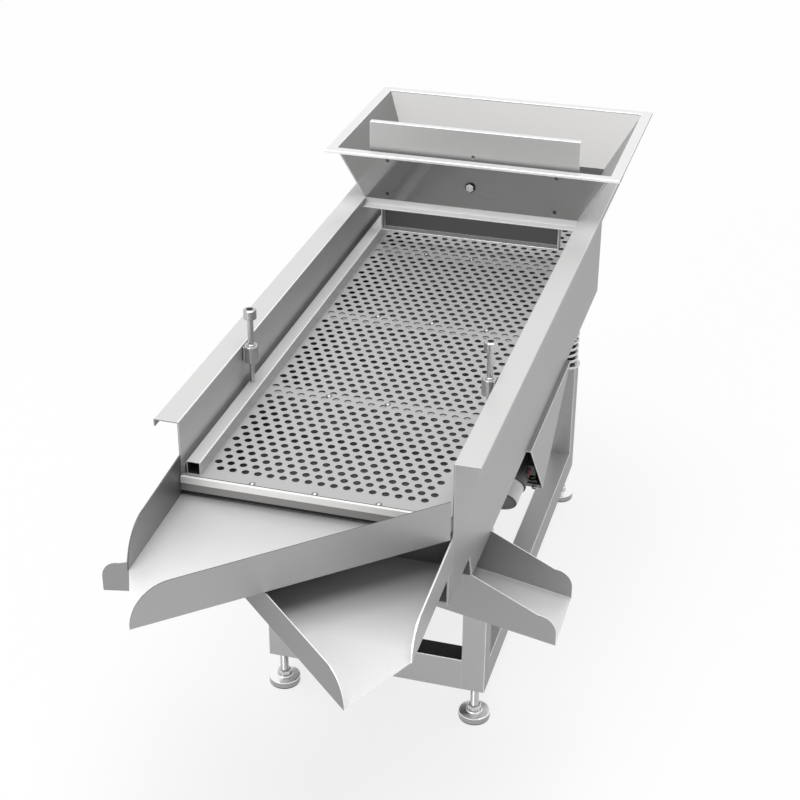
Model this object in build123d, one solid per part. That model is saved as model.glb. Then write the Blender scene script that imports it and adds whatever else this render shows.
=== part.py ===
"""Small linear vibrating screen of folded stainless sheet.

A sprung screen box with a perforated top deck, a feed hopper with a sliding gate and four
discharge chutes stands on a low frame with levelling feet. Two vibration motors hang on an
inclined plate under the box.

Millimetres, +Z up, +X to the right seen from the discharge end, +Y towards the hopper. The origin
is on the floor, under the middle of the machine's overall size.
"""
import os
from math import cos, radians, sin

from build123d import *

# Screen box: two flanged side plates, a rear plate and the layers between them
BOX_WIDTH = 504.0
BOX_LENGTH = 1474.0
BOX_DEPTH = 328.0
TOP_EDGE_HEIGHT = 858.0
SHEET = 3.0
THIN_SHEET = 2.0
FLANGE_WIDTH = 45.0
LIP_DEPTH = 15.0
SEAT_GAP = 0.3
RUNNING_GAP = 5.0

# Forward tooth of the side plates under the second layer
LOWER_FRONT = 30.0

# Top deck, its front bar and the bearers under it
DECK_DROP = 106.0
DECK_SHEET = 2.0
DECK_OVERHANG = 10.0
DECK_SIDE_GAP = 1.0
HOLE_DIAMETER = 14.0
HOLE_PITCH = 24.0
ROW_PITCH = 21.9
HOLES_IN_ROW = 17
FIRST_ROW = 38.0
BAR_DEPTH = 26.0
BAR_THICKNESS = 20.0
BEARER_SPACING = 364.0
BEARER_WIDTH = 40.0
BEARER_HEIGHT = 25.0
FIRST_BEARER = 350.0
BEARER_COUNT = 3

# Square tubes that hold the deck down, and the clamp screws that press on them
TUBE = 26.0
TUBE_WALL = 2.0
LEFT_TUBE_GAP = 9.0
LEFT_TUBE_FRONT = 4.0
RIGHT_TUBE_GAP = 1.0
RIGHT_TUBE_FRONT = 140.0
SCREW_PLACE = 325.0
SCREW_DIAMETER = 12.0
SCREW_HEAD_DIAMETER = 26.0
SCREW_HEAD_HEIGHT = 20.0
SCREW_RISE = 76.0
SOCKET_WIDTH = 12.0
SOCKET_DEPTH = 10.0
BOSS_DIAMETER = 30.0
BOSS_HEIGHT = 36.0
BOSS_WELD_WIDTH = 16.0

# Upper diverter chutes, the first to the left and the second to the right
CHUTE_WALL = 76.0
LOW_CHUTE_WALL = 58.0
CHUTE_SLOPE = 0.062
SLANT_GAP = 2.0
LEFT_CHUTE_SIDE = 238.0
LEFT_CHUTE_REACH = 380.0
LEFT_CHUTE_INSET = 65.0
LEFT_CHUTE_DROP = 144.0
RIGHT_CHUTE_SIDE = 264.0
RIGHT_CHUTE_REACH = 400.0
RIGHT_CHUTE_INSET = 70.0
RIGHT_CHUTE_DROP = 208.0

# Cross chutes under the lower layers; the slopes are of the floor and of the walls' top edges
LEFT_CROSS_WIDTH = 150.0
RIGHT_CROSS_WIDTH = 160.0
CROSS_REACH = 168.0
CROSS_SPACING = 22.0
CROSS_END_RADIUS = 36.0
LEFT_CROSS_FRONT = -20.0
LEFT_CROSS_DROP = 275.0
LEFT_CROSS_SLOPE = 0.158
LEFT_CROSS_TOP_SLOPE = 0.32
RIGHT_CROSS_DROP = 332.0
RIGHT_CROSS_SLOPE = 0.184
RIGHT_CROSS_TOP_SLOPE = 0.5

# Feed hopper on the rear of the box
HOPPER_FRONT = 1122.0
HOPPER_RISE = 115.0
HOPPER_FLARE = 68.0
HOPPER_REAR_FLARE = 95.0
RIM_WIDTH = 24.0
RIM_LIP = 7.0
SKIRT_DROP = 17.0
SKIRT_FOLD = 21.0
WALL_HOLE_DIAMETER = 9.0
WALL_HOLE_OFFSET = 198.0
WALL_HOLE_HEIGHTS = (15.0, 97.0)

# Sliding feed gate, which goes down from its open place, and its clamp bolt
GATE_WIDTH = 492.0
GATE_TAIL_WIDTH = 424.0
GATE_HOLE_DIAMETER = 9.0
GATE_HOLE_HEIGHT = 120.0
GATE_TOP = 181.0
GATE_LIP = 15.0
GATE_STANDOFF = 14.0
GATE_TRAVEL = 26.0
GATE_TAIL_TOP = -6.0
GATE_FOLD = 22.0
BOLT_HEIGHT = 54.0
BOLT_DIAMETER = 12.0
BOLT_HEAD_WIDTH = 24.0
BOLT_HEAD_HEIGHT = 8.0
SLOT_GAP = 0.5

# Motor bracket: two cheeks with a flange under the box, and the inclined plate between them
MOTOR_PLATE_LENGTH = 310.0
MOTOR_PLATE_TILT = 33.7
MOTOR_PLATE_REAR = 1041.0
MOTOR_PLATE_SHEET = 6.0
MOTOR_PLATE_LIP = 17.0
CHEEK_FRONT = 632.0
CHEEK_STANDOFF = 9.5
CHEEK_FLANGE = 40.0

# Vibration motors on the inclined plate
MOTOR_SPACING = 366.0
MOTOR_RADIUS = 58.0
MOTOR_LENGTH = 136.0
MOTOR_AXIS_HEIGHT = 66.0
COVER_LENGTH = 42.0
COVER_TOP_RADIUS = 46.0
FOOT_WIDTH = 140.0
FOOT_LENGTH = 20.0
FOOT_HEIGHT = 12.0
FOOT_SPACING = 28.0

# Base frame of box section
FRAME_WIDTH = 480.0
FRAME_FRONT = 365.0
FRAME_LENGTH = 981.0
POST = 50.0
POST_TOP = 390.0
FRAME_BOTTOM = 86.0
SIDE_RAIL_HEIGHT = 60.0
CROSS_RAIL_HEIGHT = 75.0

# Coil springs and their seats
SPRING_MEAN_DIAMETER = 46.0
SPRING_WIRE = 8.0
SPRING_PITCH = 19.0
SEAT_DIAMETER = 64.0
SEAT_THICKNESS = 6.0

# Levelling feet
FOOT_DISC_DIAMETER = 68.0
FOOT_DISC_HEIGHT = 20.0
FOOT_ROD_DIAMETER = 18.0
NUT_WIDTH = 27.0
NUT_HEIGHT = 13.0

# Places that follow from the sizes above
HALF = BOX_WIDTH / 2
HOPPER_REAR = BOX_LENGTH - SHEET + HOPPER_REAR_FLARE + RIM_WIDTH
FRONT = (RIGHT_CHUTE_REACH - HOPPER_REAR) / 2
BOTTOM = TOP_EDGE_HEIGHT - BOX_DEPTH
DECK_TOP = TOP_EDGE_HEIGHT - DECK_DROP
RIGHT_CROSS_FRONT = LEFT_CROSS_FRONT + LEFT_CROSS_WIDTH + CROSS_SPACING
SLANT_START = DECK_OVERHANG + SLANT_GAP
GATE_FRONT = HOPPER_FRONT + SHEET + GATE_STANDOFF
CHEEK_X = HALF + SHEET + CHEEK_STANDOFF
POST_X = (FRAME_WIDTH - POST) / 2
POST_YS = (FRAME_FRONT + POST / 2, FRAME_FRONT + FRAME_LENGTH - POST / 2)
SPRING_TOP = BOTTOM - SEAT_THICKNESS
SPRING_BOTTOM = POST_TOP + SEAT_THICKNESS


def block(x_range, y_range, z_range):
    """Return a box from its limits; y runs back from the front edge of the side plates."""
    size = [high - low for low, high in (x_range, y_range, z_range)]
    centre = [(low + high) / 2 for low, high in (x_range, y_range, z_range)]
    return Pos(centre[0], centre[1] + FRONT, centre[2]) * Box(*size)


def side_profile(outline):
    """Return the face of an edge loop drawn in the Y-Z plane, placed at x = 0."""
    face = make_face(outline)
    return Plane(origin=(0, FRONT, 0), x_dir=(0, 1, 0), z_dir=(1, 0, 0)) * face


def rod(radius, low, high, x, y):
    """Return an upright round bar between two heights."""
    return Pos(x, y + FRONT, (low + high) / 2) * Cylinder(radius, high - low)


def hexagon(width, low, high, x, y):
    """Return an upright hexagonal prism, measured across its flats."""
    sketch = RegularPolygon(radius=width / 2, side_count=6, major_radius=False)
    return Pos(x, y + FRONT, low) * extrude(sketch, high - low)


def solids_of(*shapes):
    """Return one compound of the separate solids of several shapes."""
    return Compound(children=[solid for shape in shapes for solid in shape.solids()])


def side_plate(side):
    """Return a side plate with its top flange, lip and stepped front end."""
    top = TOP_EDGE_HEIGHT
    step = top - RIGHT_CHUTE_DROP - THIN_SHEET
    tooth_top = step - CHUTE_SLOPE * LOWER_FRONT - SEAT_GAP
    lower = top - LEFT_CROSS_DROP + SHEET
    notch_end = LEFT_CROSS_FRONT + LEFT_CROSS_WIDTH + SEAT_GAP
    points = [(0, top), (0, step), (0, tooth_top), (-LOWER_FRONT, tooth_top), (-LOWER_FRONT, lower),
              (notch_end, lower), (RIGHT_CROSS_FRONT, BOTTOM), (BOX_LENGTH, BOTTOM), (BOX_LENGTH, top)]
    plate = extrude(side_profile(Polyline(*points, close=True)), SHEET)
    flange = block((0, SHEET + FLANGE_WIDTH), (0, BOX_LENGTH), (top - SHEET, top))
    lip = block((FLANGE_WIDTH, SHEET + FLANGE_WIDTH), (0, BOX_LENGTH), (top - LIP_DEPTH, top))
    right = Pos(HALF, 0, 0) * (plate + flange + lip)
    return right if side > 0 else mirror(right, Plane.YZ)


def row_places():
    """Return the y place and the hole count of each row; every other row has one hole more."""
    rows = int((BOX_LENGTH - SHEET - FIRST_ROW - HOLE_DIAMETER) / ROW_PITCH) + 1
    return [(FIRST_ROW + index * ROW_PITCH, HOLES_IN_ROW + index % 2) for index in range(rows)]


def deck_sheet():
    """Return the perforated top sheet, cut from one face so that every hole is a true cylinder."""
    reach = HALF - DECK_SIDE_GAP
    low, high = FRONT - DECK_OVERHANG, FRONT + BOX_LENGTH - SHEET
    outer = Wire.make_polygon([(-reach, low), (reach, low), (reach, high), (-reach, high)])
    holes = []
    for place, count in row_places():
        for index in range(count):
            x = (index - (count - 1) / 2) * HOLE_PITCH
            holes.append(Wire.make_circle(HOLE_DIAMETER / 2, Plane(origin=(x, place + FRONT, 0))))
    return Pos(0, 0, DECK_TOP - DECK_SHEET) * extrude(Face(outer, holes), DECK_SHEET)


def plain_sheet(front, top, thickness):
    """Return a flat layer that runs from a front edge to the rear plate."""
    reach = HALF - DECK_SIDE_GAP
    return block((-reach, reach), (front, BOX_LENGTH - SHEET), (top - thickness, top))


def square_tube(length):
    """Return a square hollow section along X."""
    inner = TUBE - 2 * TUBE_WALL
    return Box(length, TUBE, TUBE) - Box(length + TUBE, inner, inner)


def hold_down_side(side):
    """Return the hollow bar along one side of the deck; the right one is shorter and nearer its side plate."""
    gap, front = (RIGHT_TUBE_GAP, RIGHT_TUBE_FRONT) if side > 0 else (LEFT_TUBE_GAP, LEFT_TUBE_FRONT)
    length = BOX_LENGTH - SHEET - SEAT_GAP - front
    place = Pos(side * (HALF - gap - TUBE / 2), FRONT + front + length / 2, DECK_TOP + TUBE / 2)
    return place * Rot(0, 0, 90) * square_tube(length)


def clamp_screw(side):
    """Return a socket head screw that presses the side tube down."""
    x = side * (HALF - BOSS_DIAMETER / 2)
    top = TOP_EDGE_HEIGHT + SCREW_RISE
    head_low = top - SCREW_HEAD_HEIGHT
    body = rod(SCREW_DIAMETER / 2, DECK_TOP + TUBE, head_low, x, SCREW_PLACE)
    head = rod(SCREW_HEAD_DIAMETER / 2, head_low, top, x, SCREW_PLACE)
    socket = hexagon(SOCKET_WIDTH, top - SOCKET_DEPTH, top, x, SCREW_PLACE)
    return body + head - socket


def screw_boss(side):
    """Return the threaded boss on the inside of a side plate."""
    x = side * (HALF - BOSS_DIAMETER / 2)
    low, high = TOP_EDGE_HEIGHT - BOSS_HEIGHT, TOP_EDGE_HEIGHT
    body = rod(BOSS_DIAMETER / 2, low, high, x, SCREW_PLACE)
    x_range = (HALF - BOSS_DIAMETER / 2, HALF) if side > 0 else (-HALF, BOSS_DIAMETER / 2 - HALF)
    weld = block(x_range, (SCREW_PLACE - BOSS_WELD_WIDTH / 2, SCREW_PLACE + BOSS_WELD_WIDTH / 2), (low, high))
    return body + weld - rod(SCREW_DIAMETER / 2 + SEAT_GAP, low, high, x, SCREW_PLACE)


def chute_edge(length, root, wall, slope):
    """Return the outline of a chute wall, which follows the floor down to a rounded end."""
    low = root - slope * length
    shoulder = length - wall
    high = low + wall
    bend = wall * (1 - cos(radians(45)))
    bottom = Polyline((length, low), (length, low - THIN_SHEET), (0, root - THIN_SHEET),
                      (0, root + wall), (shoulder, high))
    end = ThreePointArc((shoulder, high), (length - bend, high - bend), (length, low))
    return make_face(Curve() + [bottom, end])


def diverter_chute(side, drop, wall, side_reach, tip_reach, inset):
    """Return a chute whose slanting front wall turns the flow to one side."""
    root = TOP_EDGE_HEIGHT - drop
    tip = Vector(side * (HALF - inset), -tip_reach, 0)
    corner = Vector(-side * HALF, -SLANT_START, 0)
    plan = Polyline((side * HALF, 0), (-side * HALF, 0), corner, tip, (side * HALF, -side_reach),
                    close=True)
    plan_face = Pos(0, FRONT, 0) * make_face(plan)
    column = Pos(0, 0, root - tip_reach) * extrude(plan_face, 2 * tip_reach)
    fall = CHUTE_SLOPE * tip_reach
    band = [(0, root), (-tip_reach, root - fall), (-tip_reach, root - fall - THIN_SHEET),
            (0, root - THIN_SHEET)]
    floor = Pos(-HALF, 0, 0) * extrude(side_profile(Polyline(*band, close=True)), BOX_WIDTH)
    floor = floor & column
    side_plane = Plane(origin=(side * HALF, FRONT, 0), x_dir=(0, -1, 0), z_dir=(-1, 0, 0))
    side_profile_face = chute_edge(side_reach, root, wall, CHUTE_SLOPE)
    side_wall = extrude(side_plane * side_profile_face, -side * SHEET)
    along = tip - corner
    start_z = root - CHUTE_SLOPE * SLANT_START
    slope = CHUTE_SLOPE * (tip_reach - SLANT_START) / along.length
    profile = chute_edge(along.length, start_z, wall, slope)
    slant = Plane(origin=corner + Vector(0, FRONT, 0), x_dir=along, z_dir=along.cross(Vector(0, 0, 1)))
    front_wall = extrude(slant * profile, -side * THIN_SHEET)
    return floor + side_wall + front_wall


def cross_chute(side, front, width, drop, top_drop, slope, top_slope):
    """Return a chute across the box that runs down and out under one side plate."""
    far_z = TOP_EDGE_HEIGHT - drop
    reach = HALF + CROSS_REACH
    end_z = far_z - slope * (reach + HALF)
    edge_z = TOP_EDGE_HEIGHT - top_drop - SEAT_GAP
    plate_x = HALF + SHEET
    shoulder = reach - CROSS_END_RADIUS
    shoulder_z = edge_z - top_slope * (shoulder - plate_x)
    wall_line = Polyline((reach, end_z), (-HALF, far_z), (-HALF, max(edge_z, far_z + THIN_SHEET)),
                         (plate_x, edge_z), (shoulder, shoulder_z))
    bend = CROSS_END_RADIUS * (1 - cos(radians(45)))
    corner = ThreePointArc((shoulder, shoulder_z), (reach - bend, shoulder_z - bend),
                           (reach, shoulder_z - CROSS_END_RADIUS))
    edge = Line((reach, shoulder_z - CROSS_END_RADIUS), (reach, end_z))
    wall = make_face(Curve() + [wall_line, corner, edge])
    floor_line = [(-HALF, far_z), (reach, end_z), (reach, end_z + THIN_SHEET),
                  (-HALF, far_z + THIN_SHEET)]
    floor = make_face(Polyline(*floor_line, close=True))
    plane = Plane(origin=(0, FRONT + front, 0), x_dir=(1, 0, 0), z_dir=(0, -1, 0))
    near = extrude(plane * wall, -THIN_SHEET)
    far = Pos(0, width - THIN_SHEET, 0) * near
    body = extrude(plane * floor, -width) + near + far
    return body if side > 0 else mirror(body, Plane.YZ)


def hopper_front():
    """Return the upright front wall, with its folded foot, its bolt hole and four small holes."""
    top, low = TOP_EDGE_HEIGHT + HOPPER_RISE, TOP_EDGE_HEIGHT - SKIRT_DROP
    half_low = HALF - SEAT_GAP
    half_top = HALF + HOPPER_FLARE - SHEET
    plane = Plane(origin=(0, FRONT + HOPPER_FRONT, 0), x_dir=(1, 0, 0), z_dir=(0, -1, 0))
    edge = TOP_EDGE_HEIGHT + SEAT_GAP
    outline = Polyline((-half_low, low), (half_low, low), (half_low, edge), (half_top, top - SHEET),
                       (-half_top, top - SHEET), (-half_low, edge), close=True)
    wall = extrude(plane * make_face(outline), -SHEET)
    fold = block((-half_low, half_low), (HOPPER_FRONT - SKIRT_FOLD, HOPPER_FRONT + SHEET),
                 (low, low + SHEET))
    wall += fold
    places = [(x, height) for x in (-WALL_HOLE_OFFSET, WALL_HOLE_OFFSET) for height in WALL_HOLE_HEIGHTS]
    for x, height in places:
        wall -= cross_bar(WALL_HOLE_DIAMETER / 2, 4 * SHEET, x, HOPPER_FRONT, TOP_EDGE_HEIGHT + height)
    bolt_hole = cross_bar(BOLT_DIAMETER / 2 + SEAT_GAP, 4 * SHEET, 0, HOPPER_FRONT,
                          TOP_EDGE_HEIGHT + BOLT_HEIGHT)
    return wall - bolt_hole


def cross_bar(radius, length, x, y, z):
    """Return a round bar along Y, centred on a point."""
    return Pos(x, y + FRONT, z) * Rot(90, 0, 0) * Cylinder(radius, length)


def hopper_side(side):
    """Return one sloping side wall of the hopper."""
    low, top = TOP_EDGE_HEIGHT, TOP_EDGE_HEIGHT + HOPPER_RISE - SHEET
    y_low = (HOPPER_FRONT + SHEET + SEAT_GAP, BOX_LENGTH - SHEET)
    y_top = (y_low[0], BOX_LENGTH + HOPPER_REAR_FLARE - SHEET)
    x_low, x_top = HALF, HALF + HOPPER_FLARE
    inner = [Vector(x_low, y_low[0], low), Vector(x_low, y_low[1], low),
             Vector(x_top, y_top[1], top), Vector(x_top, y_top[0], top)]
    return side_slab(inner, Vector(SHEET, 0, 0), side)


def side_slab(corners, shift, side):
    """Return the solid swept between four corners and the same corners shifted sideways."""
    origin = Vector(0, FRONT, 0)
    base = [corner + origin for corner in corners]
    if side < 0:
        base = [Vector(-corner.X, corner.Y, corner.Z) for corner in base]
        shift = Vector(-shift.X, shift.Y, shift.Z)
    face = Face(Wire.make_polygon(base))
    return extrude(face, shift.length, dir=shift.normalized())


def hopper_rear():
    """Return the sloping rear wall of the hopper."""
    low, top = TOP_EDGE_HEIGHT, TOP_EDGE_HEIGHT + HOPPER_RISE - SHEET
    corners = [Vector(-HALF, BOX_LENGTH - SHEET, low), Vector(HALF, BOX_LENGTH - SHEET, low),
               Vector(HALF + HOPPER_FLARE, BOX_LENGTH - SHEET + HOPPER_REAR_FLARE, top),
               Vector(-HALF - HOPPER_FLARE, BOX_LENGTH - SHEET + HOPPER_REAR_FLARE, top)]
    return side_slab(corners, Vector(0, SHEET, 0), 1)


def hopper_rim():
    """Return the flat rim around the hopper's mouth, with its turned-down lip."""
    top = TOP_EDGE_HEIGHT + HOPPER_RISE
    inner_x = HALF + HOPPER_FLARE
    inner_y = (HOPPER_FRONT + SHEET, BOX_LENGTH - SHEET + HOPPER_REAR_FLARE)
    outer_x = inner_x + RIM_WIDTH
    outer_y = (inner_y[0] - RIM_WIDTH, inner_y[1] + RIM_WIDTH)
    plate = block((-outer_x, outer_x), outer_y, (top - RIM_LIP, top))
    under = block((THIN_SHEET - outer_x, outer_x - THIN_SHEET),
                  (outer_y[0] + THIN_SHEET, outer_y[1] - THIN_SHEET), (top - RIM_LIP, top - SHEET))
    mouth = block((-inner_x, inner_x), inner_y, (top - RIM_LIP, top))
    return plate - under - mouth


def gate_plate():
    """Return the feed gate: a slotted plate with a tail between the side tubes.

    The tail is folded forward at its foot and its sides, below the foot of the hopper.
    """
    low = DECK_TOP + TUBE + RUNNING_GAP
    tail = TOP_EDGE_HEIGHT + GATE_TAIL_TOP
    top = TOP_EDGE_HEIGHT + GATE_TOP
    fold_top = TOP_EDGE_HEIGHT - SKIRT_DROP - RUNNING_GAP
    half_tail = GATE_TAIL_WIDTH / 2
    y_range = (GATE_FRONT, GATE_FRONT + SHEET)
    fold_range = (GATE_FRONT - GATE_FOLD, GATE_FRONT + SHEET)
    plate = block((-GATE_WIDTH / 2, GATE_WIDTH / 2), y_range, (tail, top))
    plate += block((-half_tail, half_tail), y_range, (low, tail))
    plate += block((-half_tail, half_tail), fold_range, (low, low + SHEET))
    plate += block((-half_tail, SHEET - half_tail), fold_range, (low, fold_top))
    plate += block((half_tail - SHEET, half_tail), fold_range, (low, fold_top))
    plate += block((-GATE_WIDTH / 2, GATE_WIDTH / 2), (GATE_FRONT, GATE_FRONT + GATE_LIP),
                   (top - SHEET, top))
    bolt = TOP_EDGE_HEIGHT + BOLT_HEIGHT
    width = BOLT_DIAMETER / 2 + SLOT_GAP
    slot = block((-width, width), (GATE_FRONT - SHEET, GATE_FRONT + 2 * SHEET), (bolt, bolt + GATE_TRAVEL))
    for height in (bolt, bolt + GATE_TRAVEL):
        slot += cross_bar(width, 3 * SHEET, 0, GATE_FRONT + SHEET / 2, height)
    hole = cross_bar(GATE_HOLE_DIAMETER / 2, 3 * SHEET, 0, GATE_FRONT + SHEET / 2,
                     TOP_EDGE_HEIGHT + GATE_HOLE_HEIGHT)
    return plate - slot - hole


def hex_bar(width, length, y, z):
    """Return a hexagonal prism along Y that starts at a given y."""
    plane = Plane(origin=(0, y + FRONT, z), x_dir=(1, 0, 0), z_dir=(0, 1, 0))
    return extrude(plane * RegularPolygon(radius=width / 2, side_count=6, major_radius=False), length)


def gate_bolt():
    """Return the clamp bolt with its collar and nut; the gate slides between them."""
    z = TOP_EDGE_HEIGHT + BOLT_HEIGHT
    rear = GATE_FRONT + SHEET + SEAT_GAP
    head = hex_bar(BOLT_HEAD_WIDTH, BOLT_HEAD_HEIGHT, HOPPER_FRONT - BOLT_HEAD_HEIGHT, z)
    nut = hex_bar(BOLT_HEAD_WIDTH, BOLT_HEAD_HEIGHT, rear, z)
    end = rear + BOLT_HEAD_HEIGHT
    shank = cross_bar(BOLT_DIAMETER / 2, end - HOPPER_FRONT, 0, (end + HOPPER_FRONT) / 2, z)
    collar_length = GATE_STANDOFF - SEAT_GAP
    collar = cross_bar(BOLT_HEAD_WIDTH / 2, collar_length, 0, HOPPER_FRONT + SHEET + collar_length / 2, z)
    return head + shank + collar + nut


def motor_frame():
    """Return the plane of the motor plate: x to the right, y down along it, z up out of it."""
    tilt = radians(MOTOR_PLATE_TILT)
    down = Vector(0, -cos(tilt), -sin(tilt))
    origin = Vector(0, FRONT + MOTOR_PLATE_REAR, BOTTOM)
    return Plane(origin=origin, x_dir=(-1, 0, 0), z_dir=Vector(-1, 0, 0).cross(down))


def motor_plate():
    """Return the inclined plate with its lower lip, cut level under the cheeks' flanges."""
    width = 2 * (CHEEK_X - SHEET)
    plate = Pos(0, MOTOR_PLATE_LENGTH / 2, -MOTOR_PLATE_SHEET / 2) * Box(
        width, MOTOR_PLATE_LENGTH, MOTOR_PLATE_SHEET)
    lip = Pos(0, MOTOR_PLATE_LENGTH - SHEET / 2, -MOTOR_PLATE_LIP / 2) * Box(width, SHEET, MOTOR_PLATE_LIP)
    placed = motor_frame() * (plate + lip)
    above = block((-width, width), (0, BOX_LENGTH), (BOTTOM - SHEET, BOTTOM + MOTOR_PLATE_LENGTH))
    return placed - above


def motor_cheeks():
    """Return the two triangular cheeks, each with a flange that lies under the box."""
    tilt = radians(MOTOR_PLATE_TILT)
    tip = (MOTOR_PLATE_REAR - MOTOR_PLATE_LENGTH * cos(tilt), BOTTOM - MOTOR_PLATE_LENGTH * sin(tilt))
    below = (tip[0] + MOTOR_PLATE_LIP * sin(tilt), tip[1] - MOTOR_PLATE_LIP * cos(tilt))
    rear = (MOTOR_PLATE_REAR + MOTOR_PLATE_LIP / sin(tilt), BOTTOM)
    outline = Polyline((CHEEK_FRONT, BOTTOM), tip, below, rear, close=True)
    cheek = Pos(CHEEK_X - SHEET, 0, 0) * extrude(side_profile(outline), SHEET)
    flange = block((CHEEK_X - CHEEK_FLANGE, CHEEK_X), (CHEEK_FRONT, rear[0]), (BOTTOM - SHEET, BOTTOM))
    right = cheek + flange
    return solids_of(right, mirror(right, Plane.YZ))


def motor(side):
    """Return a vibration motor: round body, feet and two tapered end covers."""
    x = -side * MOTOR_SPACING / 2
    foot_end = MOTOR_PLATE_LENGTH - SHEET
    middle = foot_end - (FOOT_SPACING + FOOT_LENGTH) / 2
    axis = Rot(-90, 0, 0)
    body = Pos(x, middle, MOTOR_AXIS_HEIGHT) * axis * Cylinder(MOTOR_RADIUS, MOTOR_LENGTH)
    for end in (-1, 1):
        face = Pos(x, middle + end * MOTOR_LENGTH / 2, MOTOR_AXIS_HEIGHT) * Rot(-90 * end, 0, 0)
        cover = Cone(MOTOR_RADIUS - 2 * SHEET, COVER_TOP_RADIUS, COVER_LENGTH,
                     align=(Align.CENTER, Align.CENTER, Align.MIN))
        body += face * cover
        place = middle + end * FOOT_SPACING / 2
        pad = Pos(x, place, MOTOR_AXIS_HEIGHT / 4) * Box(MOTOR_RADIUS, FOOT_LENGTH, MOTOR_AXIS_HEIGHT / 2)
        body += Pos(x, place, FOOT_HEIGHT / 2) * Box(FOOT_WIDTH, FOOT_LENGTH, FOOT_HEIGHT) + pad
    return motor_frame() * body


def springs():
    """Return the four coil springs with ground ends, in their places."""
    height = SPRING_TOP - SPRING_BOTTOM
    radius = SPRING_MEAN_DIAMETER / 2
    path = Helix(pitch=SPRING_PITCH, height=height, radius=radius)
    start = Plane(origin=path @ 0, z_dir=path % 0)
    coil = sweep(start * Circle(SPRING_WIRE / 2), path, is_frenet=True)
    trim = Cylinder(SPRING_MEAN_DIAMETER, height, align=(Align.CENTER, Align.CENTER, Align.MIN))
    coil = coil & trim
    placed = {}
    for name, y in zip(("front", "rear"), POST_YS):
        for word, side in (("left", -1), ("right", 1)):
            placed[f"spring_{name}_{word}"] = Pos(side * POST_X, y + FRONT, SPRING_BOTTOM) * coil
    return placed


def spring_seats(low):
    """Return four round seats with their undersides at one height."""
    seats = [rod(SEAT_DIAMETER / 2, low, low + SEAT_THICKNESS, side * POST_X, y)
             for y in POST_YS for side in (-1, 1)]
    return solids_of(*seats)


def frame_posts():
    """Return the four corner posts."""
    posts = [block((side * POST_X - POST / 2, side * POST_X + POST / 2), (y - POST / 2, y + POST / 2),
                   (FRAME_BOTTOM, POST_TOP)) for y in POST_YS for side in (-1, 1)]
    return solids_of(*posts)


def side_rails():
    """Return the two lower rails along the frame."""
    y_range = (POST_YS[0] + POST / 2, POST_YS[1] - POST / 2)
    z_range = (FRAME_BOTTOM, FRAME_BOTTOM + SIDE_RAIL_HEIGHT)
    return solids_of(*[block((side * POST_X - POST / 2, side * POST_X + POST / 2), y_range, z_range)
                       for side in (-1, 1)])


def cross_rails():
    """Return the two lower rails across the frame."""
    reach = POST_X - POST / 2
    z_range = (FRAME_BOTTOM, FRAME_BOTTOM + CROSS_RAIL_HEIGHT)
    return solids_of(*[block((-reach, reach), (y - POST / 2, y + POST / 2), z_range) for y in POST_YS])


def levelling_feet():
    """Return the four feet: a thick disc with a threaded rod."""
    feet = []
    for y in POST_YS:
        for side in (-1, 1):
            x = side * POST_X
            disc = rod(FOOT_DISC_DIAMETER / 2, 0, FOOT_DISC_HEIGHT, x, y)
            disc = fillet(disc.edges().group_by(Axis.Z)[-1], SHEET)
            feet.append(disc + rod(FOOT_ROD_DIAMETER / 2, FOOT_DISC_HEIGHT, FRAME_BOTTOM, x, y))
    return solids_of(*feet)


def foot_nuts():
    """Return the hexagon nuts on the foot discs."""
    nuts = []
    for y in POST_YS:
        for side in (-1, 1):
            low = FOOT_DISC_HEIGHT
            nut = hexagon(NUT_WIDTH, low, low + NUT_HEIGHT, side * POST_X, y)
            bore = rod(FOOT_ROD_DIAMETER / 2, low, low + NUT_HEIGHT, side * POST_X, y)
            nuts.append(nut - bore)
    return solids_of(*nuts)


def deck_bearers():
    """Return the bars under the top deck."""
    reach = HALF
    z_range = (DECK_TOP - DECK_SHEET - BEARER_HEIGHT, DECK_TOP - DECK_SHEET)
    places = [FIRST_BEARER + index * BEARER_SPACING for index in range(BEARER_COUNT)]
    return solids_of(*[block((-reach, reach), (y - BEARER_WIDTH / 2, y + BEARER_WIDTH / 2), z_range)
                       for y in places if y + BEARER_WIDTH / 2 < BOX_LENGTH - SHEET])


def deck_front_bar():
    """Return the bar under the discharge edge of the top deck."""
    return block((-HALF, HALF), (SEAT_GAP - DECK_OVERHANG, BAR_THICKNESS - DECK_OVERHANG),
                 (DECK_TOP - DECK_SHEET - BAR_DEPTH, DECK_TOP - DECK_SHEET))


def rear_plate():
    """Return the plate that closes the rear of the box."""
    return block((-HALF, HALF), (BOX_LENGTH - SHEET, BOX_LENGTH), (BOTTOM, TOP_EDGE_HEIGHT))


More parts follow.
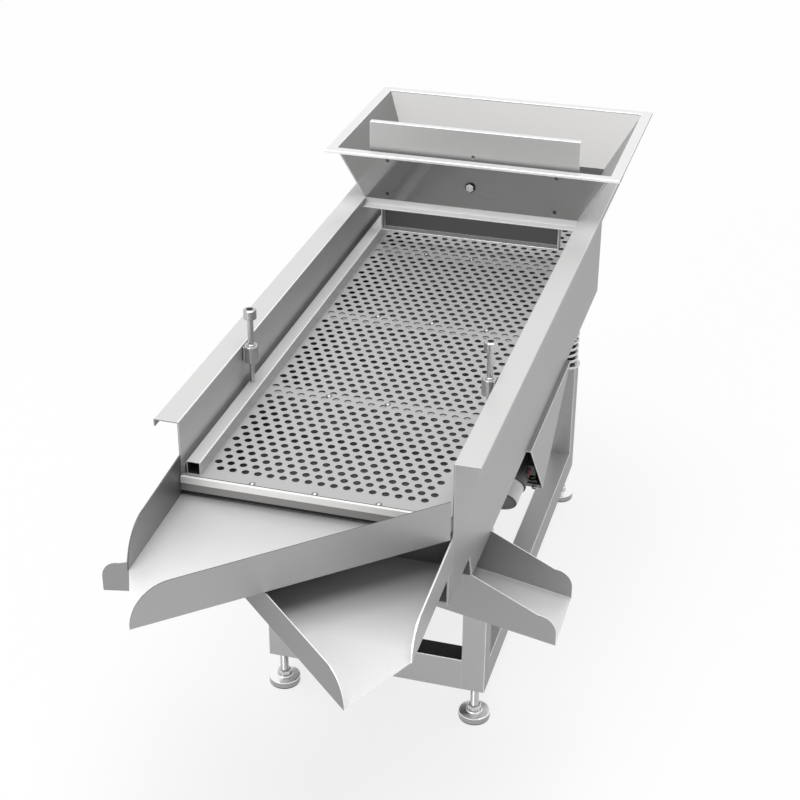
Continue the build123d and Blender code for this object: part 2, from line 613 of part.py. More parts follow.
def make_parts():
    """Return every sub-part by name."""
    top = TOP_EDGE_HEIGHT
    cross_end = RIGHT_CROSS_FRONT + RIGHT_CROSS_WIDTH
    parts = {
        "side_plate_left": side_plate(-1), "side_plate_right": side_plate(1),
        "rear_plate": rear_plate(), "top_deck": deck_sheet(), "deck_front_bar": deck_front_bar(),
        "deck_bearers": deck_bearers(),
        "middle_deck": plain_sheet(0, top - RIGHT_CHUTE_DROP, THIN_SHEET),
        "lower_deck": plain_sheet(LEFT_CROSS_FRONT + LEFT_CROSS_WIDTH,
                                  top - LEFT_CROSS_DROP + THIN_SHEET, THIN_SHEET),
        "bottom_pan": plain_sheet(cross_end, BOTTOM + THIN_SHEET, THIN_SHEET),
        "hold_down_left": hold_down_side(-1), "hold_down_right": hold_down_side(1),
        "clamp_screw_left": clamp_screw(-1), "clamp_screw_right": clamp_screw(1),
        "screw_bosses": solids_of(screw_boss(-1), screw_boss(1)),
        "chute_top_left": diverter_chute(-1, LEFT_CHUTE_DROP, CHUTE_WALL, LEFT_CHUTE_SIDE,
                                         LEFT_CHUTE_REACH, LEFT_CHUTE_INSET),
        "chute_middle_right": diverter_chute(1, RIGHT_CHUTE_DROP, LOW_CHUTE_WALL, RIGHT_CHUTE_SIDE,
                                             RIGHT_CHUTE_REACH, RIGHT_CHUTE_INSET),
        "cross_chute_left": cross_chute(-1, LEFT_CROSS_FRONT, LEFT_CROSS_WIDTH, LEFT_CROSS_DROP,
                                        LEFT_CROSS_DROP - SHEET, LEFT_CROSS_SLOPE, LEFT_CROSS_TOP_SLOPE),
        "cross_chute_right": cross_chute(1, RIGHT_CROSS_FRONT, RIGHT_CROSS_WIDTH, RIGHT_CROSS_DROP, BOX_DEPTH,
                                         RIGHT_CROSS_SLOPE, RIGHT_CROSS_TOP_SLOPE),
        "hopper_front": hopper_front(), "hopper_rear": hopper_rear(),
        "hopper_left": hopper_side(-1), "hopper_right": hopper_side(1), "hopper_rim": hopper_rim(),
        "gate_bolt": gate_bolt(), "gate_plate": gate_plate(),
        "motor_cheeks": motor_cheeks(), "motor_plate": motor_plate(),
        "motor_left": motor(-1), "motor_right": motor(1),
        "upper_spring_seats": spring_seats(SPRING_TOP), "lower_spring_seats": spring_seats(POST_TOP),
        "frame_posts": frame_posts(), "frame_side_rails": side_rails(),
        "frame_cross_rails": cross_rails(), "levelling_feet": levelling_feet(), "foot_nuts": foot_nuts(),
    }
    parts.update(springs())
    return parts


os.makedirs("parts", exist_ok=True)
for name, shape in make_parts().items():
    export_step(shape, f"parts/{name}.step")
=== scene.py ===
"""Dressed model of a small linear vibrating screen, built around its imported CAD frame.

Every sub-assembly of the machine is a class: the sprung box with its decks, the hold-down bars
and clamp screws, the chutes, the feed hopper with its gate, the motors under the box, the springs
and the base frame. The frame is the CAD model's, in metres, with +Y towards the feed hopper and +X
to the right seen from the discharge end. Sizes in fields, profiles and arguments are in
millimetres, unless they are points.
"""
import logging
import math
from contextlib import contextmanager
from dataclasses import dataclass
from enum import Enum
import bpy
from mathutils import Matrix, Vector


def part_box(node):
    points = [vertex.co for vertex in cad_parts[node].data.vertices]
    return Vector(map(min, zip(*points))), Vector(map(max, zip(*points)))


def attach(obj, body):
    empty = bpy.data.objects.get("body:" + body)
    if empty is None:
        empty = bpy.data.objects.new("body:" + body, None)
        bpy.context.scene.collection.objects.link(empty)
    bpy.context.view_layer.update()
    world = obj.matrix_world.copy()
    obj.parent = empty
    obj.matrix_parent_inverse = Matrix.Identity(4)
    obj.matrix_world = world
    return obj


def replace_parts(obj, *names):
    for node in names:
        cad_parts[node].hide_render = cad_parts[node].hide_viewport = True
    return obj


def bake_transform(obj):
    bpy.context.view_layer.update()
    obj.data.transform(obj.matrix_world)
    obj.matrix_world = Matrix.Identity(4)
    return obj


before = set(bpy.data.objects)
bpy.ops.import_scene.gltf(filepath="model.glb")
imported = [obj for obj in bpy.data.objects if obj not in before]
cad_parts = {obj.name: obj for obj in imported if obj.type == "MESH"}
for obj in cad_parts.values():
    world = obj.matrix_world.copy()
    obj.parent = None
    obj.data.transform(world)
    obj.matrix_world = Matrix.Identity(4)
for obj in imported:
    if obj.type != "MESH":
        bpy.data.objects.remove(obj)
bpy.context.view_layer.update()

from types import SimpleNamespace
from typing import Any, Callable, Iterator, Optional, Sequence, Union

import bmesh
import bpy
from mathutils import Matrix, Vector

LOG = logging.getLogger("vibrating_screen")

MM = 0.001
FRONT_EDGE = -595.0
POST_X = 215.0
POST_YS = (390.0, 1321.0)
MERGE_DISTANCE = 2e-5
HOLE_EDGE = 5.0
FLAT_ANGLE = math.radians(0.4)
SHARP_ANGLE = math.radians(25)
ROUNDED_ANGLE = math.radians(30)
SMOOTH_ANGLE = math.radians(35)

# The least share of a direction that counts as facing an axis, as lying along it and as level, and
# the largest that counts as square to it.
FACING = 0.9
TRUE = 0.99
LEVEL = 0.9999
SQUARE = 0.1

ORIGIN = Vector((0, 0, 0))
UP = Vector((0, 0, 1))
BACK = Vector((0, 1, 0))

Colour = tuple[float, float, float]
Profile = Sequence[tuple[float, float]]
Piece = bpy.types.Object
Material = bpy.types.Material
Test = Callable[[Vector, Vector], bool]
Look = tuple[Material, Test]


class Side(Enum):
    """A side of the machine, seen from the discharge end, with its sign along X."""

    left = -1
    right = 1


def at(x: float, y: float, z: float) -> Vector:
    """Return a point in metres from millimetres, with y measured from the side plates' front edge."""
    return Vector((x, y + FRONT_EDGE, z)) * MM


def corners(height: float) -> list[Vector]:
    """Return the points at a height on the four posts' axes, front before rear, left before right."""
    return [at(side.value * POST_X, y, height) for y in POST_YS for side in Side]


def near(value: float, target: float, slack: float = 0.4) -> bool:
    """Tell whether a value in metres lies within some millimetres of a target in millimetres."""
    return abs(value - target * MM) < slack * MM


def outer(centre: Vector, normal: Vector) -> bool:
    """Tell whether a face looks away from the machine's middle plane."""
    return normal.x * centre.x > FACING * abs(centre.x)


def grey(level: int, warmth: float = 0.0) -> Colour:
    """Return the linear colour of a screen grey level.

    Args:
        level: the grey as it shows on a screen, from 0 to 255.
        warmth: share by which red is raised and blue lowered.

    Returns:
        Linear red, green and blue.
    """
    value = level / 255
    linear = value / 12.92 if value <= 0.04045 else ((value + 0.055) / 1.055) ** 2.4
    return (linear * (1 + warmth), linear, linear * (1 - warmth))


# ---- Shader graphs ----


def operator(operation: str, reflected: bool = False) -> Callable[["Signal", Any], "Signal"]:
    """Return a method of Signal that adds one Math node.

    Args:
        operation: the node's operation.
        reflected: whether the other value comes first, as in 1 - signal.

    Returns:
        The method.
    """
    def method(self: "Signal", other: Any) -> "Signal":
        """Return the result of the Math node."""
        first, second = (other, self) if reflected else (self, other)
        return self.graph.node("Math", {"operation": operation}, {0: first, 1: second})
    return method


class Signal:
    """An output socket that takes part in Python arithmetic by adding Math nodes."""

    __add__, __radd__ = operator("ADD"), operator("ADD", True)
    __sub__, __rsub__ = operator("SUBTRACT"), operator("SUBTRACT", True)
    __mul__, __rmul__ = operator("MULTIPLY"), operator("MULTIPLY", True)

    def __init__(self, graph: "Graph", socket: bpy.types.NodeSocket) -> None:
        """Keep the socket and the graph that it belongs to."""
        self.graph = graph
        self.socket = socket

    def clamped(self) -> "Signal":
        """Return the value held between 0 and 1."""
        return self.graph.node("Clamp", {}, {"Value": self})


class Graph:
    """The node tree of a material or of the world."""

    def __init__(self, owner: Union[Material, bpy.types.World], output: str = "Material") -> None:
        """Empty the owner's tree down to its output node."""
        owner.use_nodes = True
        self.owner = owner
        self.tree = owner.node_tree
        self.tree.nodes.clear()
        self.output = self.tree.nodes.new(f"ShaderNodeOutput{output}")

    def node(self, kind: str, settings: dict[str, Any], inputs: dict[Union[str, int], Any],
             output: Union[str, int] = 0) -> Signal:
        """Add a node from its type, its settings and its inputs.

        Args:
            kind: the node's type name, without ShaderNode.
            settings: properties that are set first; "stops" fills a colour ramp's two stops.
            inputs: values or signals by socket name or number.
            output: the socket that is returned.

        Returns:
            The chosen output as a signal.
        """
        made = self.tree.nodes.new(f"ShaderNode{kind}")
        for key, value in settings.items():
            if key != "stops":
                setattr(made, key, value)
                continue
            for element, (place, level) in zip(made.color_ramp.elements, value):
                element.position = place
                element.color = (level, level, level, 1.0)
        for key, value in inputs.items():
            if isinstance(value, Signal):
                self.tree.links.new(value.socket, made.inputs[key])
            else:
                made.inputs[key].default_value = value
        return Signal(self, made.outputs[output])

    def along(self, axis: str) -> Signal:
        """Return the place along an axis, in metres."""
        return self.node("SeparateXYZ", {}, {0: self.node("TexCoord", {}, {}, "Object")}, axis)

    def noise(self, scale: Sequence[float], detail: float = 2.0, roughness: float = 0.5) -> Signal:
        """Return a noise from 0 to 1.

        Args:
            scale: waves per metre along each axis.
            detail: how many finer noises are added.
            roughness: how strong the finer noises are.

        Returns:
            The noise.
        """
        point = self.node("TexCoord", {}, {}, "Object")
        place = self.node("Mapping", {}, {"Vector": point, "Scale": scale})
        return self.node("TexNoise", {}, {"Vector": place, "Scale": 1.0, "Detail": detail,
                                          "Roughness": roughness}, "Fac")

    def mix(self, factor: Signal, *colours: Union[Colour, Signal]) -> Signal:
        """Return a colour between two colours."""
        first, second = (end if isinstance(end, Signal) else (*end, 1.0) for end in colours)
        return self.node("Mix", {"data_type": "RGBA"}, {0: factor, 6: first, 7: second}, 2)

    def bump(self, height: Signal, distance: float) -> Signal:
        """Return the normal of a height map whose full height is a distance in metres."""
        return self.node("Bump", {}, {"Height": height, "Distance": distance}, "Normal")

    def seen(self) -> Signal:
        """Return 1 for the rays of the camera, of reflections and of clear things, and 0 for others."""
        camera, glossy, clear = (self.node("LightPath", {}, {}, f"Is {kind} Ray")
                                 for kind in ("Camera", "Glossy", "Transmission"))
        return (camera + glossy + clear).clamped()

    def surface(self, **sockets: Any) -> Material:
        """Close the graph with a Principled shader, and return the material."""
        inputs = {key.replace("_", " ").title(): value for key, value in sockets.items()}
        return self.close(self.node("BsdfPrincipled", {}, inputs))

    def close(self, shader: Signal) -> Any:
        """Link a shader to the output, and return the tree's owner."""
        self.tree.links.new(shader.socket, self.output.inputs["Surface"])
        return self.owner


# ---- Finishes ----


class Grain(Enum):
    """Direction in which a steel surface was brushed, as waves of its grain per metre."""

    ALONG = (900.0, 14.0, 900.0)
    ACROSS = (14.0, 900.0, 900.0)
    UPRIGHT = (900.0, 900.0, 14.0)
    EVEN = (700.0, 700.0, 700.0)


@dataclass(frozen=True)
class Fade:
    """A change from another colour, at one place along an axis, to the finish's own at the next."""

    axis: str
    start: float
    end: float
    other: Colour
    unevenness: float = 0.12

    def applied(self, graph: Graph, cloud: Signal, colour: Signal) -> Signal:
        """Return a colour with this fade in it.

        Args:
            graph: the material's graph.
            cloud: a slow noise that makes the fade uneven.
            colour: the finish's own colour.

        Returns:
            The faded colour.
        """
        first, last = (at(place, place, place)["XYZ".index(self.axis)]
                       for place in (self.start, self.end))
        way = (graph.along(self.axis) - first) * (1 / (last - first)) + (cloud - 0.5) * self.unevenness
        return graph.mix(way.clamped(), self.other, colour)


@dataclass(frozen=True)
class Steel:
    """Stainless steel: brushed grain, soft handling marks and a slight cloud in its tone."""

    name: str
    colour: Colour
    roughness: float = 0.38
    metallic: float = 0.38
    grain: Grain = Grain.ALONG
    contrast: float = 0.06
    depth: float = 0.000012
    marks: float = 0.06
    fade: Optional[Fade] = None

    def material(self) -> Material:
        """Return the node material."""
        graph = Graph(bpy.data.materials.new(self.name))
        grain = graph.noise(self.grain.value, 3.0, 0.6)
        cloud = graph.noise((3.1, 2.3, 2.7), 3.0, 0.55)
        speck = graph.node("ValToRGB", {"stops": ((0.42, 0.0), (0.72, 1.0))},
                           {"Fac": graph.noise((310.0, 330.0, 290.0))})
        tone = (grain - 0.5) * self.contrast + (cloud - 0.5) * (self.contrast * 0.7)
        dark = tuple(channel * (1 - self.contrast) for channel in self.colour)
        light = tuple(min(1.0, channel * (1 + self.contrast)) for channel in self.colour)
        colour = graph.mix((tone * (1 / self.contrast) + 0.5).clamped(), dark, light)
        if self.fade:
            colour = self.fade.applied(graph, cloud, colour)
        roughness = (self.roughness + (cloud - 0.5) * self.marks + (grain - 0.5) * (self.marks * 1.6)
                     + speck * (self.marks * 0.5))
        return graph.surface(base_color=colour, metallic=self.metallic, roughness=roughness.clamped(),
                             normal=graph.bump(grain + speck * 0.3, self.depth))


@dataclass(frozen=True)
class Paint:
    """Sprayed enamel, rubber or plastic with a fine orange peel."""

    name: str
    colour: Colour
    roughness: float = 0.45
    coat: float = 0.2
    coat_roughness: float = 0.3
    peel: float = 0.00003

    def material(self) -> Material:
        """Return the node material."""
        graph = Graph(bpy.data.materials.new(self.name))
        peel = graph.noise((420.0, 420.0, 420.0))
        cloud = graph.noise((9.0, 9.0, 9.0), 3.0)
        dark = tuple(channel * 0.86 for channel in self.colour)
        light = tuple(min(1.0, channel * 1.12) for channel in self.colour)
        return graph.surface(base_color=graph.mix(cloud, dark, light),
                             roughness=(self.roughness + (cloud - 0.5) * 0.12).clamped(),
                             coat_weight=self.coat, coat_roughness=self.coat_roughness,
                             normal=graph.bump(peel, self.peel))


FINISHES = {
    "box": Steel("box_sheet", grey(146, 0.004), fade=Fade("Y", 100, 1400, grey(162))),
    # Painted shade: the left plate's inner face is darker than the box sheet, and darker still towards
    # the rear under the hopper.
    "inside": Steel("box_inside", grey(140, 0.01), fade=Fade("Y", 0, 1300, grey(200))),
    # Painted highlight: the near-white colour on rounded folds and edges stands in for the light that
    # they catch.
    "fold": Steel("bright_fold", grey(248), 0.25, grain=Grain.EVEN, contrast=0.03),
    # Partly real, partly painted shade: dull cut ends and washers, and a dark colour on faces that lie
    # in shade, such as the gate's tail under the hopper and the faces below the left plate's flange.
    "cut_edge": Steel("dull_cut_edge", grey(96), 0.5, grain=Grain.EVEN),
    "lip": Steel("shaded_lip", grey(128)),
    # Painted light: up-facing flange and tube tops are lighter than the sheets' sides, and lighter still
    # towards the rear, which paints out the shadow of the hopper's overhang.
    "flange": Steel("flange_sheet", grey(250), fade=Fade("Y", 960, 1300, grey(206, 0.004))),
    "bar": Steel("front_bar_steel", grey(140, 0.02)),
    # Painted highlight: the cap's light colour stands in for the light along the front bar's rounded
    # top.
    "cap": Steel("front_cap_steel", grey(236, 0.01), contrast=0.1),
    # Painted shade: the first chute's inner left wall is dark, darkest next to the box.
    "dim": Steel("first_chute_side", grey(160), fade=Fade("Y", 0, -300, grey(104))),
    # Painted shade: the second chute's slanted outer wall is dark, darkest next to the box under the
    # first chute.
    "slant": Steel("second_chute_side", grey(136), fade=Fade("Y", 0, -330, grey(80))),
    "tooth": Steel("left_chute_sheet", grey(146)),
    "right_chute": Steel("right_chute_sheet", grey(158)),
    # Painted light: a lighter colour on the feet's coned tops than on the sides of their discs.
    "foot_top": Steel("foot_top_steel", grey(250), 0.2, 0.85, Grain.EVEN, 0.03),
    "packing": Steel("packing_steel", grey(150), 0.5),
    # Painted shade: below its top face the sheet turns near-black, which darkens the hole walls and the
    # underside.
    "deck": Steel("perforated_sheet", grey(178, 0.004), grain=Grain.EVEN, contrast=0.09,
                  fade=Fade("Z", 751.2, 751.8, grey(24))),
    "chute": Steel("chute_sheet", grey(168, 0.004)),
    # Painted light: the cross chutes' up-facing floors are lighter than their walls.
    "slide": Steel("worn_chute_floor", grey(222, 0.004)),
    # Painted light and shade: the floors of the first two chutes are light towards their tips and dark
    # next to the box, the second darkest where the first chute's wall shades it.
    "first_slide": Steel("first_chute_floor", grey(238), fade=Fade("Y", 10, -330, grey(180))),
    "second_slide": Steel("second_chute_floor", grey(221), fade=Fade("Y", 30, -240, grey(84))),
    # Painted shade: the frame's outward faces are darker than its front and rear faces.
    "frame_side": Steel("frame_side_tube", grey(142), grain=Grain.UPRIGHT),
    # Painted shade: the hopper's inner side walls are darker than its sheet, the left one most.
    "light_shade": Steel("hopper_right_sheet", grey(162, 0.01), grain=Grain.ACROSS),
    "hopper": Steel("hopper_sheet", grey(180, 0.01), grain=Grain.ACROSS),
    "shade": Steel("hopper_left_sheet", grey(132, 0.01), grain=Grain.ACROSS),
    # Mirror finish with painted shade: the front wall's colour is darker than the other hopper walls.
    "mirror": Steel("hopper_front_sheet", grey(136, 0.01), 0.1, 0.4, Grain.ACROSS, 0.03, 0.000003,
                    0.02),
    # Painted light: a light colour on the rim, and on the front wall's skirt, the right wall's outer
    # face and the gate's top faces.
    "rim": Steel("rim_sheet", grey(222), grain=Grain.EVEN, contrast=0.04),
    "gate": Steel("gate_sheet", grey(188, 0.008), grain=Grain.ACROSS),
    "tube": Steel("tube_steel", grey(190, 0.004), 0.42, grain=Grain.EVEN, contrast=0.14),
    "frame": Steel("frame_tube", grey(184), grain=Grain.UPRIGHT),
    # Painted shade: a near-black colour on the lower deck, the bottom pan and the cross rails' tops,
    # which lie in shade.
    "inner": Steel("inner_sheet", grey(36), 0.6),
    # Painted shade: the middle deck, seen through the holes, is dark, and darker towards its front edge.
    "layer": Steel("middle_layer_sheet", grey(128), 0.6, fade=Fade("Y", 0, 110, grey(82))),
    "turned": Steel("turned_steel", grey(212), 0.24, 0.8, Grain.EVEN, 0.04),
    "polished": Steel("polished_steel", grey(186), 0.16, 0.9, Grain.UPRIGHT, 0.05),
    "dark_steel": Steel("dark_steel", grey(74), 0.2, 0.95, Grain.EVEN, 0.08),
    "disc": Steel("foot_disc_steel", grey(176), 0.3, grain=Grain.EVEN, contrast=0.04),
    # Painted shade: the motor plate and the cheeks' inner faces are dark, as they lie in shade under the
    # box.
    "bracket": Steel("bracket_sheet", grey(70), 0.5),
    "spring": Steel("spring_wire", grey(214), 0.3, 0.6, Grain.EVEN, 0.05),
    # Real rubber on the pads, the side seal and the deck joint; the same black paints the shade inside
    # the tubes, inside the springs as stubs and under the front bar as a strip.
    "rubber": Paint("black_rubber", grey(24), 0.8, 0.0),
    "motor": Paint("motor_enamel", grey(62), 0.5),
    "cover": Paint("motor_cover", grey(214), 0.4),
    "gland": Paint("cable_gland", (0.30, 0.05, 0.045), 0.5),
}


# ---- Workbench: ways of making a piece, as a maker would by hand ----


def alone(piece: Piece) -> Piece:
    """Make one piece the only selected and the active object, and return it."""
    bpy.ops.object.select_all(action="DESELECT")
    piece.select_set(True)
    bpy.context.view_layer.objects.active = piece
    return piece


@contextmanager
def editing(piece: Piece, mode: str = "FACE", facing: Optional[Vector] = None) -> Iterator[None]:
    """Open a piece in edit mode, and close it again.

    Args:
        piece: the piece to edit.
        mode: what is selected in it.
        facing: where only faces are to be selected, the direction that they face.

    Yields:
        Nothing, while the piece is open.
    """
    alone(piece)
    if facing:
        for polygon in piece.data.polygons:
            polygon.select = polygon.normal.dot(facing) > FACING
    bpy.ops.object.mode_set(mode="EDIT")
    bpy.ops.mesh.select_mode(type=mode)
    if not facing:
        bpy.ops.mesh.select_all(action="SELECT")
    yield
    bpy.ops.object.mode_set(mode="OBJECT")


def face_outwards() -> None:
    """Turn all faces of the piece that is open in edit mode outwards."""
    bpy.ops.mesh.select_all(action="SELECT")
    bpy.ops.mesh.normals_make_consistent(inside=False)


def modified(piece: Piece, kind: str, **settings: Any) -> Piece:
    """Add a modifier with its settings, apply it at once, and return the piece.

    Args:
        piece: the piece to change.
        kind: the modifier's type.
        settings: the modifier's properties.

    Returns:
        The piece.
    """
    alone(piece)
    modifier = piece.modifiers.new(kind.lower(), kind)
    for key, value in settings.items():
        setattr(modifier, key, value)
    bpy.ops.object.modifier_apply(modifier=modifier.name)
    return piece


def named(piece: Piece, name: str) -> Piece:
    """Name a piece and its mesh, and return it."""
    piece.name = piece.data.name = name
    return piece


def primitive(name: str, add: Callable[..., Any], **settings: Any) -> Piece:
    """Add a primitive, settle its place in its mesh, and return it under its name.

    Args:
        name: the piece's name.
        add: the operator that adds the primitive.
        settings: its place and sizes, in metres.

    Returns:
        The piece.
    """
    bpy.ops.object.select_all(action="DESELECT")
    add(**settings)
    bpy.ops.object.transform_apply(location=True, rotation=True, scale=True)
    return named(bpy.context.object, name)


def block(name: str, low: Vector, high: Vector) -> Piece:
    """Add a rectangular block between two corners."""
    return primitive(name, bpy.ops.mesh.primitive_cube_add, size=1, location=(low + high) / 2,
                     scale=high - low)


def turned(name: str, foot: Vector, axis: Vector, rings: Profile, sides: int = 32) -> Piece:
    """Model a turned part: a disc that is extruded and scaled step by step along its axis.

    Args:
        name: the piece's name.
        foot: the centre of the first disc.
        axis: the direction in which the part grows.
        rings: radius and distance from the foot of each ring.
        sides: the number of sides of every ring.

    Returns:
        The closed piece.
    """
    direction = axis.normalized()
    radius, start = rings[0]
    centre = foot + direction * start * MM
    piece = primitive(name, bpy.ops.mesh.primitive_circle_add, vertices=sides, radius=radius * MM,
                      fill_type="NGON", location=centre,
                      rotation=direction.to_track_quat("Z", "Y").to_euler())
    with editing(piece):
        for next_radius, distance in rings[1:]:
            target = foot + direction * distance * MM
            bpy.ops.mesh.extrude_region_move(TRANSFORM_OT_translate={"value": target - centre})
            scale = next_radius / radius
            bpy.ops.transform.resize(value=(scale, scale, scale), center_override=target)
            centre, radius = target, next_radius
        face_outwards()
    return piece


def joined(name: str, pieces: Sequence[Piece]) -> Piece:
    """Join several pieces into one under a new name."""
    whole = alone(pieces[0])
    for piece in pieces[1:]:
        piece.select_set(True)
    bpy.ops.object.join()
    return named(whole, name)


def repeated(name: str, piece: Piece, moves: Sequence[Union[Vector, Matrix]]) -> Piece:
    """Copy a piece to several places, each copy with its own mesh, and join and shade the copies.

    Args:
        name: the name of the whole.
        piece: the piece that was modelled once, which is used up.
        moves: how far each copy goes from where the piece was modelled, or how it turns.

    Returns:
        The joined copies.
    """
    copies = []
    for index, move in enumerate(moves):
        mesh = piece.data.copy()
        mesh.transform(move if isinstance(move, Matrix) else Matrix.Translation(move))
        copies.append(bpy.data.objects.new(f"{name}_{index}", mesh))
        bpy.context.scene.collection.objects.link(copies[-1])
    bpy.data.objects.remove(piece)
    return shaded(joined(name, copies))


def hex_bolt(name: str, foot: Vector, axis: Vector, size: float) -> Piece:
    """Model a hexagon bolt head on its washer.

    Args:
        name: the piece's name.
        foot: the middle of the washer's underside.
        axis: the direction in which the head stands out.
        size: the size of the bolt's thread, which gives all others.

    Returns:
        The joined head.
    """
    parts = [turned(f"{name}_{part}", foot, axis,
                    [(radius * size, height * size) for radius, height in rings], sides)
             for part, rings, sides in (
                 ("washer", ((1.08, 0), (1.12, 0.04), (1.12, 0.17), (1.05, 0.21)), 32),
                 ("head", ((0.87, 0.2), (0.92, 0.26), (0.92, 0.74), (0.8, 0.84)), 6),
                 ("crown", ((0.66, 0.8), (0.64, 0.87), (0.3, 0.89)), 24))]
    rounded(parts[1], size * 0.03, 1)
    return joined(name, parts)


def rounded(piece: Piece, width: float, segments: int = 2) -> Piece:
    """Round every sharp edge of a piece by a width, and return the piece."""
    return modified(piece, "BEVEL", width=width * MM, segments=segments, limit_method="ANGLE",
                    angle_limit=ROUNDED_ANGLE)


def shaded(piece: Piece) -> Piece:
    """Shade rounded parts smooth, keep flat parts flat, and return the piece."""
    alone(piece)
    bpy.ops.object.shade_smooth_by_angle(angle=SMOOTH_ANGLE)
    return modified(piece, "WEIGHTED_NORMAL", keep_sharp=True)


def scored(piece: Piece, *heights: float) -> Piece:
    """Divide a piece's faces at some heights, so that each part can have its finish."""
    for height in heights:
        with editing(piece):
            bpy.ops.mesh.bisect(plane_co=(0, 0, height * MM), plane_no=UP)
    return piece


def copy_of(node: str, whole: bool) -> Piece:
    """Return a merged copy of a CAD node's mesh.

    Args:
        node: the CAD node.
        whole: whether its flat faces are made whole.

    Returns:
        The copy.
    """
    name = f"formed_{node}"
    piece = named(bpy.data.objects.new(name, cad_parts[node].data.copy()), name)
    piece.data.materials.clear()
    bpy.context.scene.collection.objects.link(piece)
    with editing(piece, "VERT"):
        bpy.ops.mesh.customdata_custom_splitnormals_clear()
        bpy.ops.mesh.remove_doubles(threshold=MERGE_DISTANCE)
        if whole:
            bpy.ops.mesh.dissolve_limited(angle_limit=FLAT_ANGLE)
        face_outwards()
    return piece


def weigh_edges(piece: Piece, plain: float, folds: Sequence[tuple[Test, float]],
                largest: float, shortest: float) -> None:
    """Give every sharp edge its share of the largest rounding.

    Args:
        piece: the piece whose edges are weighed.
        plain: rounding of a cut edge.
        folds: tests of an edge's middle and direction, each with its rounding.
        largest: the rounding that a weight of 1 stands for.
        shortest: length below which an edge, as around a hole, stays sharp.
    """
    mesh = bmesh.new()
    mesh.from_mesh(piece.data)
    layer = mesh.edges.layers.float.new("bevel_weight_edge")
    for edge in mesh.edges:
        if (len(edge.link_faces) != 2 or edge.calc_face_angle(0.0) < SHARP_ANGLE
                or edge.calc_length() < shortest * MM):
            continue
        start, end = (vertex.co for vertex in edge.verts)
        middle, way = (start + end) / 2, (end - start).normalized()
        edge[layer] = next((size for test, size in folds if test(middle, way)), plain) / largest
    mesh.to_mesh(piece.data)
    mesh.free()


def formed(node: str, plain: float = 0.5, folds: Sequence[tuple[Test, float]] = (),
           segments: int = 3, whole: bool = True) -> Piece:
    """Return a CAD sheet with rounded folds and edges, which stands for its node.

    Args:
        node: the CAD node.
        plain: rounding of cut edges.
        folds: tests for folded edges with their radii.
        segments: facets across each rounding.
        whole: whether flat faces are made whole, which a face around an opening can't be; where
            they aren't, the piece stays flat shaded.

    Returns:
        The finished piece, with a second material slot for its roundings.
    """
    piece = copy_of(node, whole)
    largest = max([plain] + [size for _, size in folds])
    weigh_edges(piece, plain, folds, largest, 0.0 if whole else HOLE_EDGE)
    for _ in range(2):
        piece.data.materials.append(None)
    modified(piece, "BEVEL", width=largest * MM, segments=segments, limit_method="WEIGHT",
             material=1)
    if whole:
        shaded(piece)
    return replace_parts(piece, node)


@dataclass
class SubAssembly:
    """What every sub-assembly has: the finishes, the body it rides on and a way to dress pieces."""

    finishes: SimpleNamespace
    body: str = "screen_box"

    def dress(self, piece: Piece, finish: Material, slot: str, *looks: Look,
              body: Optional[str] = None, edge: Optional[Material] = None) -> Piece:
        """Give a piece its finishes and the body it rides on.

        Args:
            piece: the finished mesh.
            finish: its material.
            slot: the record's material slot; not used.
            looks: other finishes, each with a test of the centre and normal of the faces that get it.
            body: the body, where it isn't the sub-assembly's own.
            edge: the finish of the rounded folds and edges, where it differs.

        Returns:
            The piece.
        """
        materials = piece.data.materials
        if not materials:
            materials.append(finish)
        materials[0] = finish
        if len(materials) > 1:
            materials[1] = edge or finish
        for other, test in looks:
            materials.append(other)
            for polygon in piece.data.polygons:
                if test(polygon.center, polygon.normal):
                    polygon.material_index = len(materials) - 1
        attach(piece, body or self.body)
        LOG.info("%s: %d faces on %s", piece.name, len(piece.data.polygons), body or self.body)
        return piece

    @staticmethod
    def carry(node: str, finish: Material) -> None:
        """Give a CAD node that stays as it is its finish."""
        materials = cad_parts[node].data.materials
        materials.clear()
        materials.append(finish)
        LOG.info("%s: carried from the CAD model", node)


# ---- The machine ----


